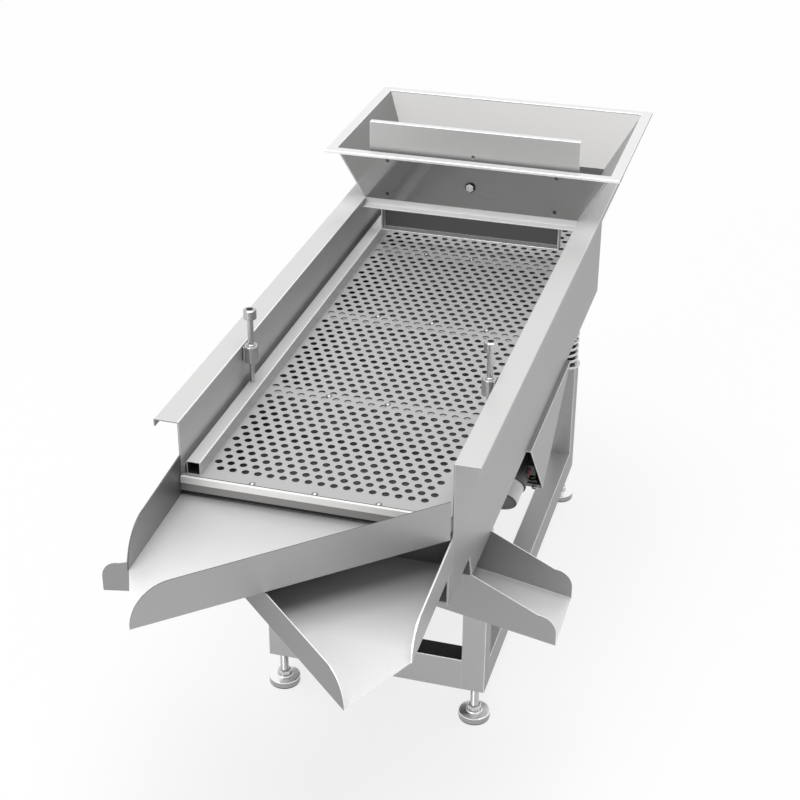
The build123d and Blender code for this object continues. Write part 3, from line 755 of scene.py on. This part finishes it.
@dataclass
class ScreenBox(SubAssembly):
    """Side plates, rear plate, decks and bearers."""

    half: float = 252.0
    top: float = 858.0
    sheet: float = 3.0
    deck_top: float = 752.0
    lip_depth: float = 12.0
    lip_x: float = 297.0
    cap_reach: float = 250.5
    cap_front: float = -10.6
    cap_back: float = -4.4
    screw_places: Profile = (
        (-118, 3), (0, 3), (118, 3), (-90, 355.5), (30, 355.5), (-102, 727.9), (18, 727.9),
        (138, 727.9), (-90, 1078.3), (18, 1078.3))

    def build(self) -> None:
        """Build and dress the box."""
        use = self.finishes
        folds = (
            (lambda middle, way: (abs(way.y) > TRUE and near(middle.z, self.top)
                                  and near(abs(middle.x), self.half, 1.2)), 2.2),
            (lambda middle, way: abs(way.y) > TRUE and near(middle.z, self.top), 2.0),
            (lambda middle, way: abs(way.y) > TRUE and near(middle.z, self.top - self.sheet), 1.2))
        left_only = (
            # Painted shade: the left plate's inner face takes the darker inside colour.
            (use.inside, lambda centre, normal: normal.x > FACING),
            # Painted shade and dull cut ends: faces near the left plate's top that face forward, down
            # and outwards from its lip take the dull dark colour.
            (use.cut_edge, lambda centre, normal: (
                centre.z > (self.top - self.lip_depth) * MM
                and (normal.y < -0.8 or normal.z < -0.5
                     or centre.x < -self.lip_x * MM and normal.z < 0.5))))
        # Painted light: the plates' top faces take the light flange colour.
        top = (use.flange, lambda centre, normal: normal.z > TRUE and centre.z > (self.top - 1) * MM)
        # Painted highlight on the left and rear plates' roundings, and painted light on the right
        # plate's roundings in the flange colour.
        for side, edge, looks in ((Side.left, use.fold, left_only), (Side.right, use.flange, ())):
            self.dress(formed(f"side_plate_{side.name}", 0.5, folds, 4), use.box, "side_stainless",
                       *looks, top, edge=edge)
        self.dress(formed("rear_plate", 0.8), use.box, "side_stainless", edge=use.fold)
        self.dress(formed("deck_front_bar", 0.8), use.bar, "bright_stainless")
        self.trim_front()
        self.fix_deck()
        # Painted shade: the top deck's hole walls, the middle and lower decks and the bottom pan take
        # dark colours.
        for node, finish in (("top_deck", use.deck), ("deck_bearers", use.chute),
                             ("middle_deck", use.layer), ("lower_deck", use.inner),
                             ("bottom_pan", use.inner)):
            self.carry(node, finish)

    def trim_front(self) -> None:
        """Lay the light cap on the deck's front edge, the joint behind it and a black strip that paints
        the shadow below it.
        """
        front, back, top, use = self.cap_front, self.cap_back, self.deck_top, self.finishes
        for name, lows, highs, width, finish in (
                # Painted highlight and shadow: the cap's light colour stands in for the light on the
                # bar's rounded top, and the black strip named seal for the shadow under the bar.
                ("cap", (front, top - 12.5), (back, top + 1.4), 0.6, use.cap),
                ("joint", (back, top), (back + 3.2, top + 0.3), 0.1, use.rubber),
                ("seal", (front + 2.6, 718.0), (front + 8.6, 723.9), 0.5, use.rubber)):
            strip = block(f"deck_front_{name}", at(-self.cap_reach, *lows), at(self.cap_reach, *highs))
            self.dress(shaded(rounded(strip, width)), finish, "bright_stainless")

    def fix_deck(self) -> None:
        """Drive a low round-headed screw into the deck at each place, between the holes."""
        moves = [Vector((x, y, 0)) * MM for x, y in self.screw_places]
        for name, rings, finish in (
                ("deck_screws", ((4.6, -0.2), (4.6, 0.5), (4.1, 1.3), (3.0, 1.9), (1.4, 2.2)),
                 self.finishes.polished),
                ("deck_screw_washers", ((6.0, -0.2), (6.0, 0.3), (5.4, 0.5), (4.2, 0.5)),
                 self.finishes.cut_edge)):
            screw = turned(name, at(0, 0, self.deck_top), UP, rings, 20)
            self.dress(repeated(name, screw, moves), finish, "turned_stainless")


@dataclass
class HoldDown(SubAssembly):
    """Square tubes that hold the deck down, with the clamp screws, their bosses and the side seals."""

    screw_x: float = 237.0
    screw_y: float = 325.0
    tube_top: float = 778.0
    tube_middle: float = 765.0
    tube_edge: float = 12.5
    tube_wall: float = 11.6
    head_foot: float = 136.0
    screw_length: float = 156.0
    boss_foot: float = 822.0
    boss_height: float = 36.0

    def build(self) -> None:
        """Build and dress the tubes, screws, bosses and seals."""
        use, height = self.finishes, self.tube_middle * MM
        for side in Side:
            middle = sum(corner.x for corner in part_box(f"hold_down_{side.name}")) / 2
            tube = formed(f"hold_down_{side.name}", 0.3, ((lambda spot, way: (
                abs(way.y) > TRUE and abs(spot.z - height) > self.tube_edge * MM), 1.8),))
            self.dress(
                tube, use.tube, "bright_stainless",
                # Painted shade inside the tube in the black rubber colour, painted light on its tops, a
                # dull dark colour on its front end faces and painted highlight on its roundings.
                (use.rubber, lambda centre, normal: (
                    (centre.x - middle) * normal.x + (centre.z - height) * normal.z < -1e-6)),
                (use.flange, lambda centre, normal: normal.z > TRUE and centre.z > height),
                (use.cut_edge, lambda centre, normal: (
                    normal.y < -FACING and abs(centre.z - height) > self.tube_wall * MM)),
                edge=use.fold)
            self.dress(self.clamp_screw(side), use.polished, "turned_stainless")
            self.dress(self.boss(side), use.polished, "turned_stainless")
        self.dress(self.strip("side_packing", at(-251.9, 4, 752.1), at(-246.4, 1468, 766.0), 2.0),
                   use.packing, "bright_stainless")
        self.dress(self.strip("side_seal", at(-246.3, 5, 752.1), at(-243.1, 1468, 771.0), 1.4),
                   use.rubber, "motor_paint")

    def clamp_screw(self, side: Side) -> Piece:
        """Turn the long socket head screw that presses a tube down, and sink its hexagon socket."""
        foot = at(side.value * self.screw_x, self.screw_y, self.tube_top)
        head, end = self.head_foot, self.screw_length
        screw = turned(f"screw_{side.name}", foot, UP, (
            (3.6, 0), (4.6, 1.0), (4.6, 42), (6.0, 43.5), (6.0, head - 1.5), (7.0, head - 0.3),
            (11.6, head), (12.9, head + 1.2), (12.9, end - 3.2), (12.2, end - 1.2), (10.6, end - 0.2),
            (10.2, end)), 40)
        socket = turned("socket", foot, UP, ((6.9, end - 10), (6.9, end - 0.8), (7.8, end + 1)), 6)
        modified(screw, "BOOLEAN", object=socket, operation="DIFFERENCE", solver="EXACT")
        bpy.data.objects.remove(socket)
        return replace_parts(shaded(screw), f"clamp_screw_{side.name}")

    def boss(self, side: Side) -> Piece:
        """Turn the threaded boss that is welded to a side plate, with chamfered ends and weld seams."""
        foot, high = at(side.value * self.screw_x, self.screw_y, self.boss_foot), self.boss_height
        barrel = turned(f"boss_{side.name}", foot, UP, (
            (12.6, 0), (14.8, 1.8), (14.8, high - 3.4), (13.4, high - 1.2), (12.4, high - 0.2),
            (9.2, high)), 40)
        ring = turned("boss_ring", foot, UP, (
            (9.0, high - 0.4), (9.0, high + 1.6), (8.2, high + 2.2), (6.0, high + 2.2)))
        seams = [turned("boss_seam", foot + Vector((side.value * 11.6, way * 9.6, 2.0)) * MM, UP, (
            (1.6, 0), (2.6, 2), (2.6, high - 6), (1.6, high - 4)), 10) for way in (-1, 1)]
        boss = joined(f"screw_boss_{side.name}", (barrel, ring, *seams))
        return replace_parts(shaded(boss), "screw_bosses")

    @staticmethod
    def strip(name: str, low: Vector, high: Vector, crown: float) -> Piece:
        """Lay a strip with a crowned top between the left side plate and its tube.

        Args:
            name: the strip's name.
            low: its lowest corner.
            high: its highest corner, without the crown.
            crown: height of the crown.

        Returns:
            The finished strip.
        """
        strip = block(name, low, high)
        with editing(strip, facing=UP):
            bpy.ops.mesh.inset(thickness=0.9 * MM, depth=0)
            bpy.ops.mesh.extrude_region_move(TRANSFORM_OT_translate={"value": (0, 0, crown * MM)})
        return shaded(rounded(strip, 0.3))


@dataclass
class Chutes(SubAssembly):
    """The four discharge chutes, whose faces below an area in square metres are their cut edges."""

    cut_area: float = 0.0016

    def build(self) -> None:
        """Build and dress the chutes."""
        use = self.finishes
        # Painted shade on the walls of the first two chutes next to the box, and painted light and shade
        # on every floor; the roundings of the second and right chutes take painted highlight, the first
        # chute's a dull dark colour.
        dim = (use.dim, lambda centre, normal: normal.x > 0.7)
        slant = (use.slant, lambda centre, normal: normal.x < -0.4 and normal.y < -0.2)
        for node, sheet, edge, floor, looks in (
                ("chute_top_left", use.chute, use.cut_edge, use.first_slide, (dim,)),
                ("chute_middle_right", use.chute, use.fold, use.second_slide, (slant,)),
                ("cross_chute_left", use.tooth, use.box, use.slide, ()),
                ("cross_chute_right", use.right_chute, use.fold, use.slide, ())):
            chute = self.dress(formed(node, 0.3, segments=1), sheet, "bright_stainless",
                               (floor, lambda centre, normal: FACING < normal.z < LEVEL), *looks,
                               edge=edge)
            for polygon in chute.data.polygons:
                if polygon.area < self.cut_area:
                    polygon.material_index = 1


@dataclass
class Hopper(SubAssembly):
    """Feed hopper with its rim, and the sliding gate with its clamp bolt."""

    front_wall: float = 1122.0
    gate_rear: float = 1142.0
    bolt_height: float = 912.0
    tail_low: float = 786.0
    tail_high: float = 838.0
    tail_face: float = 1139.0
    skirt_top: float = 859.0

    def build(self) -> None:
        """Build and dress the hopper and its gate."""
        use = self.finishes
        # Mirror finish with painted shade on the front wall, painted light on its skirt in the rim
        # colour, and painted highlight on its roundings.
        front = scored(formed("hopper_front", 0.8, whole=False), self.skirt_top)
        self.dress(front, use.mirror, "side_stainless",
                   (use.rim, lambda centre, normal: centre.z < self.skirt_top * MM), edge=use.fold)
        # Painted shade on the side walls' inner faces, and painted light on the right wall's outer face
        # in the rim colour.
        for node in ("hopper_rear", "hopper_left", "hopper_right"):
            self.dress(formed(node), use.hopper, "side_stainless",
                       (use.shade, lambda centre, normal: centre.x < 0 and normal.x > 0.3),
                       (use.light_shade, lambda centre, normal: centre.x > 0 and normal.x < -0.3),
                       (use.rim, lambda centre, normal: centre.x > 0 and normal.x > 0.3))
        # Painted highlight on the rim's front face and roundings, and painted shade on its outer lips.
        self.dress(formed("hopper_rim", 1.4, whole=False), use.rim, "side_stainless",
                   (use.fold, lambda centre, normal: normal.y < -FACING),
                   (use.lip, outer), edge=use.fold)
        # Painted light on the gate's top faces, painted shade on the front of its tail under the hopper,
        # and painted highlight on its roundings.
        gate = scored(formed("gate_plate", 1.0, whole=False), self.tail_low, self.tail_high)
        self.dress(gate, use.gate, "side_stainless",
                   (use.rim, lambda centre, normal: normal.z > FACING),
                   (use.cut_edge, lambda centre, normal: (
                       normal.y < -FACING and self.tail_low * MM < centre.z < self.tail_high * MM
                       and centre.y > at(0, self.tail_face - 1, 0).y)),
                   body="gate", edge=use.fold)
        # Painted highlight: the bolt head's front takes the light turned colour over the dark steel.
        self.dress(self.clamp_bolt(), use.dark_steel, "turned_stainless",
                   (use.turned, lambda centre, normal: centre.y < at(0, self.front_wall - 8.6, 0).y))

    def clamp_bolt(self) -> Piece:
        """Model the gate's clamp bolt: head and washer in front, collar, threaded end and nut behind."""
        outside = at(0, self.front_wall, self.bolt_height)
        gap = self.gate_rear - self.front_wall
        head = hex_bolt("gate_bolt_front", outside, -BACK, 11.0)
        collar = turned("gate_bolt_collar", outside, BACK, (
            (11.0, 3.1), (12.0, 4.0), (12.0, gap - 4.2), (11.0, gap - 3.3)))
        shank = turned("gate_bolt_shank", outside, BACK, (
            (6.0, -1.0), (6.0, gap + 9.0), (5.2, gap + 10.4)), 24)
        nut = turned("gate_bolt_rear_nut", outside, BACK, (
            (12.4, gap + 0.4), (13.6, gap + 1.2), (13.6, gap + 7.2), (12.2, gap + 8.2)), 6)
        bolt = joined("gate_clamp_bolt", (head, collar, shank, nut))
        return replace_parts(shaded(bolt), "gate_bolt")


@dataclass
class Drive(SubAssembly):
    """Motor bracket and the two vibration motors, which stand on its inclined plate."""

    tilt: float = math.radians(33.7)
    plate_rear: float = 1041.0
    box_bottom: float = 530.0
    plate_length: float = 310.0
    motor_x: float = 183.0
    motor_middle: float = 283.0
    axis_height: float = 66.0
    half_length: float = 68.0
    bolt_across: float = 59.0
    bolt_along: float = 14.0
    lip_bolt_x: float = 247.0
    cover_rings: Profile = (
        (53.0, 0.2), (54.2, 1.4), (54.2, 5.0), (52.6, 6.0), (51.6, 12), (50.2, 22), (48.6, 32),
        (47.6, 38), (46.4, 40), (30.0, 40.2))
    cap_rings: Profile = (
        (45.0, 39.5), (45.6, 40.4), (45.0, 42.0), (43.0, 42.6), (34.0, 42.6), (32.5, 41.8), (12.0, 41.8),
        (11.0, 43.0), (6.0, 43.4))

    def build(self) -> None:
        """Build and dress the bracket and the motors."""
        use = self.finishes
        # Painted shade on the cheeks' inner faces and the motor plate in the dark bracket colour, and on
        # the plate's lip; painted highlight on the cheeks' roundings.
        self.dress(formed("motor_cheeks", 0.8), use.box, "side_stainless",
                   (use.bracket, lambda centre, normal: normal.x * centre.x < -0.01), edge=use.fold)
        self.dress(formed("motor_plate", 1.0), use.bracket, "side_stainless",
                   (use.lip, lambda centre, normal: normal.dot(self.down) > FACING))
        for side in Side:
            self.dress(formed(f"motor_{side.name}", 1.5), use.motor, "motor_paint")
            self.dress(self.ribs(side), use.motor, "motor_paint")
            self.dress(self.terminal_box(side), use.motor, "motor_paint")
            self.dress(self.gland(side), use.gland, "motor_paint")
            self.dress(self.ends("motor_covers", side, self.cover_rings), use.cover, "side_stainless")
            self.dress(self.ends("cover_caps", side, self.cap_rings), use.motor, "motor_paint")
            self.dress(self.foot_bolts(side), use.dark_steel, "turned_stainless")
        self.dress(self.lip_bolts(), use.polished, "turned_stainless")

    @property
    def down(self) -> Vector:
        """Return the direction down along the inclined plate, which the motors' axes follow."""
        return Vector((0, -math.cos(self.tilt), -math.sin(self.tilt)))

    @property
    def out(self) -> Vector:
        """Return the direction out of the inclined plate."""
        return Vector((0, -math.sin(self.tilt), math.cos(self.tilt)))

    def on_plate(self, x: float, along: float, out: float) -> Vector:
        """Return the place of a point that is given on the inclined plate."""
        return at(x, self.plate_rear, self.box_bottom) + (self.down * along + self.out * out) * MM

    def centre(self, side: Side) -> Vector:
        """Return the middle of a motor."""
        return self.on_plate(side.value * self.motor_x, self.motor_middle, self.axis_height)

    def ribs(self, side: Side) -> Piece:
        """Set cooling ribs around the upper half of a motor's housing."""
        centre = self.centre(side)
        rib = turned("rib", centre + self.out * 57.0 * MM - self.down * 46 * MM, self.down, (
            (1.6, 0), (3.4, 4), (3.4, 88), (1.6, 92)), 8)
        turns = [Matrix.Translation(centre) @ Matrix.Rotation(math.radians(angle), 4, self.down)
                 @ Matrix.Translation(-centre) for angle in range(-105, 106, 15)]
        return repeated(f"motor_ribs_{side.name}", rib, turns)

    def terminal_box(self, side: Side) -> Piece:
        """Model the cable box on a motor's outer side, with its lid."""
        box = block(f"terminal_box_{side.name}", Vector((-20, -26, -24)) * MM,
                    Vector((20, 30, 24)) * MM)
        with editing(box, facing=Vector((side.value, 0, 0))):
            bpy.ops.mesh.inset(thickness=1.5 * MM, depth=-0.8 * MM)
            bpy.ops.mesh.inset(thickness=0.8 * MM, depth=1.8 * MM)
        rounded(box, 2.0)
        turn = Matrix((Vector((1, 0, 0)), self.down, self.out)).transposed().to_4x4()
        place = self.on_plate(side.value * (self.motor_x + 50), self.motor_middle - 4, self.axis_height)
        box.data.transform(Matrix.Translation(place) @ turn)
        return shaded(box)

    def gland(self, side: Side) -> Piece:
        """Turn the red cable gland in the lower end of a terminal box."""
        foot = self.on_plate(side.value * (self.motor_x + 55), self.motor_middle + 25,
                             self.axis_height + 3)
        return shaded(turned(f"cable_gland_{side.name}", foot, self.down, (
            (7.0, 0), (7.6, 1), (7.6, 7), (6.4, 8), (6.4, 14), (5.2, 17), (3.4, 17.5)), 12))

    def ends(self, name: str, side: Side, rings: Profile) -> Piece:
        """Turn a part for both ends of a motor.

        Args:
            name: the part's name, to which the side is added.
            side: the motor's side.
            rings: the part's profile, outwards from the end of the housing.

        Returns:
            The joined pair.
        """
        pair = [turned(f"{name}_{way}", self.centre(side) + self.down * way * self.half_length * MM,
                       self.down * way, rings, 48) for way in (-1, 1)]
        return shaded(joined(f"{name}_{side.name}", pair))

    def foot_bolts(self, side: Side) -> Piece:
        """Bolt a motor's feet to the plate."""
        bolt = hex_bolt("foot_bolt", ORIGIN, self.out, 11.0)
        places = [self.on_plate(side.value * self.motor_x + x, self.motor_middle + along, 12.0)
                  for x in (-self.bolt_across, self.bolt_across)
                  for along in (-self.bolt_along, self.bolt_along)]
        return repeated(f"motor_foot_bolts_{side.name}", bolt, places)

    def lip_bolts(self) -> Piece:
        """Bolt the plate's lower lip to the cheeks."""
        bolt = hex_bolt("lip_bolt", ORIGIN, self.down, 8.0)
        places = [self.on_plate(side.value * self.lip_bolt_x, self.plate_length, -8.5) for side in Side]
        return repeated("bracket_lip_bolts", bolt, places)


@dataclass
class Suspension(SubAssembly):
    """Coil springs, their seats and the black stubs inside them, which paint the shade between the
    coils.
    """

    low: float = 396.0
    high: float = 524.0
    coil_radius: float = 23.0
    wire: float = 8.0
    pitch: float = 16.6
    ground: float = 3.0
    coil_steps: int = 28

    def build(self) -> None:
        """Build and dress the springs, stubs and seats."""
        use = self.finishes
        for node, body in (("upper_spring_seats", "screen_box"), ("lower_spring_seats", "base")):
            self.dress(formed(node, 1.0), use.turned, "turned_stainless", body=body)
        for word, y in zip(("front", "rear"), POST_YS):
            for side in Side:
                x = side.value * POST_X
                coil = self.coil(f"coil_{word}_{side.name}", x, y)
                coil.data.materials.append(use.spring)
                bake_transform(coil)
                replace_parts(coil, f"spring_{word}_{side.name}")
                LOG.info("%s: %d faces between base and screen_box", coil.name, len(coil.data.polygons))
        # Painted shade: black stubs inside the springs stand in for the shade between the coils.
        for name, foot, way, body in (("lower", self.low, UP, "base"),
                                      ("upper", self.high, -UP, "screen_box")):
            self.dress(self.stubs(name, foot, way), use.rubber, "motor_paint", body=body)

    def coil(self, name: str, x: float, y: float) -> Piece:
        """Wind a coil from a round wire and grind its two ends flat.

        Args:
            name: the coil's name.
            x: place of its axis.
            y: place of its axis, from the side plates' front edge.

        Returns:
            The closed coil.
        """
        piece = primitive(name, bpy.ops.mesh.primitive_circle_add, vertices=12,
                          radius=self.wire / 2 * MM, location=(self.coil_radius * MM, 0, 0),
                          rotation=(math.radians(90), 0, 0))
        turns = math.ceil((self.high - self.low + 2 * self.ground) / self.pitch)
        modified(piece, "SCREW", axis="Z", angle=math.tau, screw_offset=self.pitch * MM,
                 iterations=turns, steps=self.coil_steps, render_steps=self.coil_steps)
        piece.data.transform(Matrix.Translation(at(x, y, self.low - self.ground)))
        with editing(piece, "VERT"):
            bpy.ops.mesh.remove_doubles(threshold=MERGE_DISTANCE)
            for height, above in ((self.low, False), (self.high, True)):
                bpy.ops.mesh.select_all(action="SELECT")
                bpy.ops.mesh.bisect(plane_co=at(x, y, height), plane_no=UP, use_fill=True,
                                    clear_inner=not above, clear_outer=above)
            face_outwards()
        return shaded(piece)

    def stubs(self, name: str, foot: float, way: Vector) -> Piece:
        """Turn the four black stubs, painted shade inside the springs, that stand on one row of seats.
        """
        stub = turned(f"{name}_stub", ORIGIN, way, ((18.6, 0), (18.6, 56), (17.4, 59), (14.0, 60)))
        return repeated(f"{name}_spring_stubs", stub, corners(foot))


@dataclass
class BaseFrame(SubAssembly):
    """Posts, rails, levelling feet and their nuts."""

    body: str = "base"
    rod_foot: float = 20.0
    thread_foot: float = 33.0
    rod_top: float = 86.0
    rod_radius: float = 9.0
    core_radius: float = 8.1
    thread_pitch: float = 2.5
    outer_x: float = 238.0
    rail_top: float = 140.0

    def build(self) -> None:
        """Build and dress the frame."""
        use = self.finishes
        # Painted shade on the cross rails' tops and the frame's outward faces, painted highlight on its
        # roundings, and painted light on the feet's coned tops.
        ledge = (use.inner, lambda centre, normal: normal.z > TRUE)
        for node, looks in (("frame_posts", ()), ("frame_side_rails", ()),
                            ("frame_cross_rails", (ledge,))):
            piece = formed(node, 0.2, (
                (lambda middle, way: abs(way.z) > FACING and abs(middle.x) > self.outer_x * MM, 1.4),
                (lambda middle, way: abs(way.z) < SQUARE and middle.z > self.rail_top * MM, 1.4)))
            self.dress(piece, use.frame, "frame_stainless", (use.frame_side, outer), *looks,
                       edge=use.fold)
        crown = (use.foot_top, lambda centre, normal: normal.z > 0.4)
        for name, part, finish, node, looks in (
                ("foot_pads", self.pad(), use.rubber, "levelling_feet", ()),
                ("foot_discs", self.disc(), use.disc, "levelling_feet", (crown,)),
                ("foot_rods", self.rod(), use.polished, "levelling_feet", ()),
                ("foot_hex_nuts", self.nut(), use.turned, "foot_nuts", ())):
            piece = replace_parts(repeated(name, part, corners(0)), node)
            self.dress(piece, finish, "turned_stainless", *looks)

    def pad(self) -> Piece:
        """Turn one foot's black rubber sole."""
        return turned("pad", ORIGIN, UP, (
            (31.0, 0), (32.6, 0.8), (33.4, 2.0), (33.4, 3.6), (30.0, 3.8)), 48)

    def disc(self) -> Piece:
        """Turn one foot's disc, with its coned top and the hub around its rod."""
        return turned("disc", ORIGIN, UP, (
            (33.4, 3.2), (34.0, 4.0), (34.0, 15.6), (33.2, 17.2), (31.6, 17.8), (18.0, 19.6),
            (17.2, 21.0), (15.2, 21.4)), 64)

    def rod(self) -> Piece:
        """Turn one foot's threaded rod."""
        rings = [(self.rod_radius, self.rod_foot), (self.rod_radius, self.thread_foot - 0.4)]
        height = self.thread_foot
        while height + self.thread_pitch < self.rod_top:
            rings += [(self.core_radius, height), (self.rod_radius, height + self.thread_pitch * 0.5)]
            height += self.thread_pitch
        rings += [(self.core_radius, height), (self.core_radius, self.rod_top)]
        return turned("rod", ORIGIN, UP, rings, 28)

    def nut(self) -> Piece:
        """Model one chamfered hexagon nut with its collar."""
        collar = turned("nut_collar", ORIGIN, UP, (
            (15.0, 20.8), (16.4, 21.4), (16.4, 22.4), (13.5, 23.4)), 40)
        nut = turned("nut", ORIGIN, UP, ((14.2, 23.0), (15.4, 23.8), (15.4, 31.8), (13.6, 33.0)), 6)
        return joined("nut", (collar, rounded(nut, 0.5)))


# ---- Studio ----


class LampKind(Enum):
    """A square panel, or the even light of a high diffuser, with the field that holds its size."""

    AREA = "size"
    SUN = "angle"


@dataclass(frozen=True)
class SoftLamp:
    """A soft light that points at a place, with its size in metres, or in radians for a diffuser."""

    name: str
    kind: LampKind
    place: tuple[float, float, float]
    aim: tuple[float, float, float]
    size: float
    power: float

    def hang(self) -> None:
        """Add the light to the scene."""
        data = bpy.data.lights.new(self.name, self.kind.name)
        setattr(data, self.kind.value, self.size)
        data.energy = self.power
        lamp = bpy.data.objects.new(self.name, data)
        lamp.location = self.place
        way = Vector(self.aim) - Vector(self.place)
        lamp.rotation_euler = way.to_track_quat("-Z", "Y").to_euler()
        bpy.context.scene.collection.objects.link(lamp)


@dataclass
class Studio:
    """Pale floor and background, soft light and the camera.

    Places and the floor's size are in metres, turns in radians, the sensor in millimetres, and the
    focal length and the picture's side in pixels.
    """

    camera_place: tuple[float, float, float] = (0.82827, -2.94969, 2.30229)
    pitch: float = 0.4991514
    yaw: float = 0.2780718
    roll: float = 0.0068038
    focal: float = 1659.912
    picture: float = 800.0
    sensor: float = 36.0
    ambient: float = 0.4
    floor_size: float = 60.0
    floor_white: float = 0.8

    def build(self) -> None:
        """Set up the camera, the background, the floor and the lamps."""
        self.set_camera()
        self.set_background()
        self.lay_floor()
        SoftLamp("overhead", LampKind.SUN, (0.0, 0.2, 4.4), (0, 0.3, 0.5), math.radians(50),
                 2.4).hang()
        SoftLamp("front_softbox", LampKind.AREA, (-1.6, -5.0, 2.4), (0, 0.0, 0.6), 3.0, 70).hang()
        bpy.context.scene.view_settings.view_transform = "Standard"

    def set_camera(self) -> None:
        """Stand the camera where the photograph was taken."""
        data = bpy.data.cameras.new("camera")
        data.sensor_width = self.sensor
        data.lens = self.focal * self.sensor / self.picture
        data.clip_end = 100.0
        camera = bpy.data.objects.new("camera", data)
        camera.matrix_world = (Matrix.Translation(self.camera_place) @ Matrix.Rotation(self.yaw, 4, "Z")
                               @ Matrix.Rotation(math.pi / 2 - self.pitch, 4, "X")
                               @ Matrix.Rotation(self.roll, 4, "Z"))
        bpy.context.scene.collection.objects.link(camera)
        bpy.context.scene.camera = camera

    def set_background(self) -> None:
        """Show white to the camera and to reflections, and a plain grey light to the rest."""
        world = bpy.data.worlds.new("studio")
        bpy.context.scene.world = world
        graph = Graph(world, "World")
        strength = graph.seen() * (1 - self.ambient) + self.ambient
        graph.close(graph.node("Background", {}, {"Color": (1, 1, 1, 1), "Strength": strength}))

    def lay_floor(self) -> None:
        """Lay the pale floor, which keeps the machine's shadow."""
        floor = primitive("studio_floor", bpy.ops.mesh.primitive_plane_add, size=self.floor_size,
                          location=ORIGIN)
        graph = Graph(bpy.data.materials.new("studio_floor"))
        colour = graph.mix(graph.noise((0.7, 0.7, 0.7)), grey(229), grey(233))
        lit = graph.node("BsdfDiffuse", {}, {"Color": colour})
        white = graph.node("Emission", {}, {"Strength": 1.0})
        shown = graph.seen() * self.floor_white
        mixed = graph.node("MixShader", {}, {0: shown, 1: lit, 2: white})
        floor.data.materials.append(graph.close(mixed))


def main() -> None:
    """Build the machine and the studio around it."""
    logging.basicConfig(level=logging.INFO, format="%(message)s")
    finishes = SimpleNamespace(**{key: finish.material() for key, finish in FINISHES.items()})
    for kind in (BaseFrame, Suspension, ScreenBox, HoldDown, Chutes, Drive, Hopper):
        kind(finishes).build()
    Studio().build()


if __name__ == "__main__":
    main()
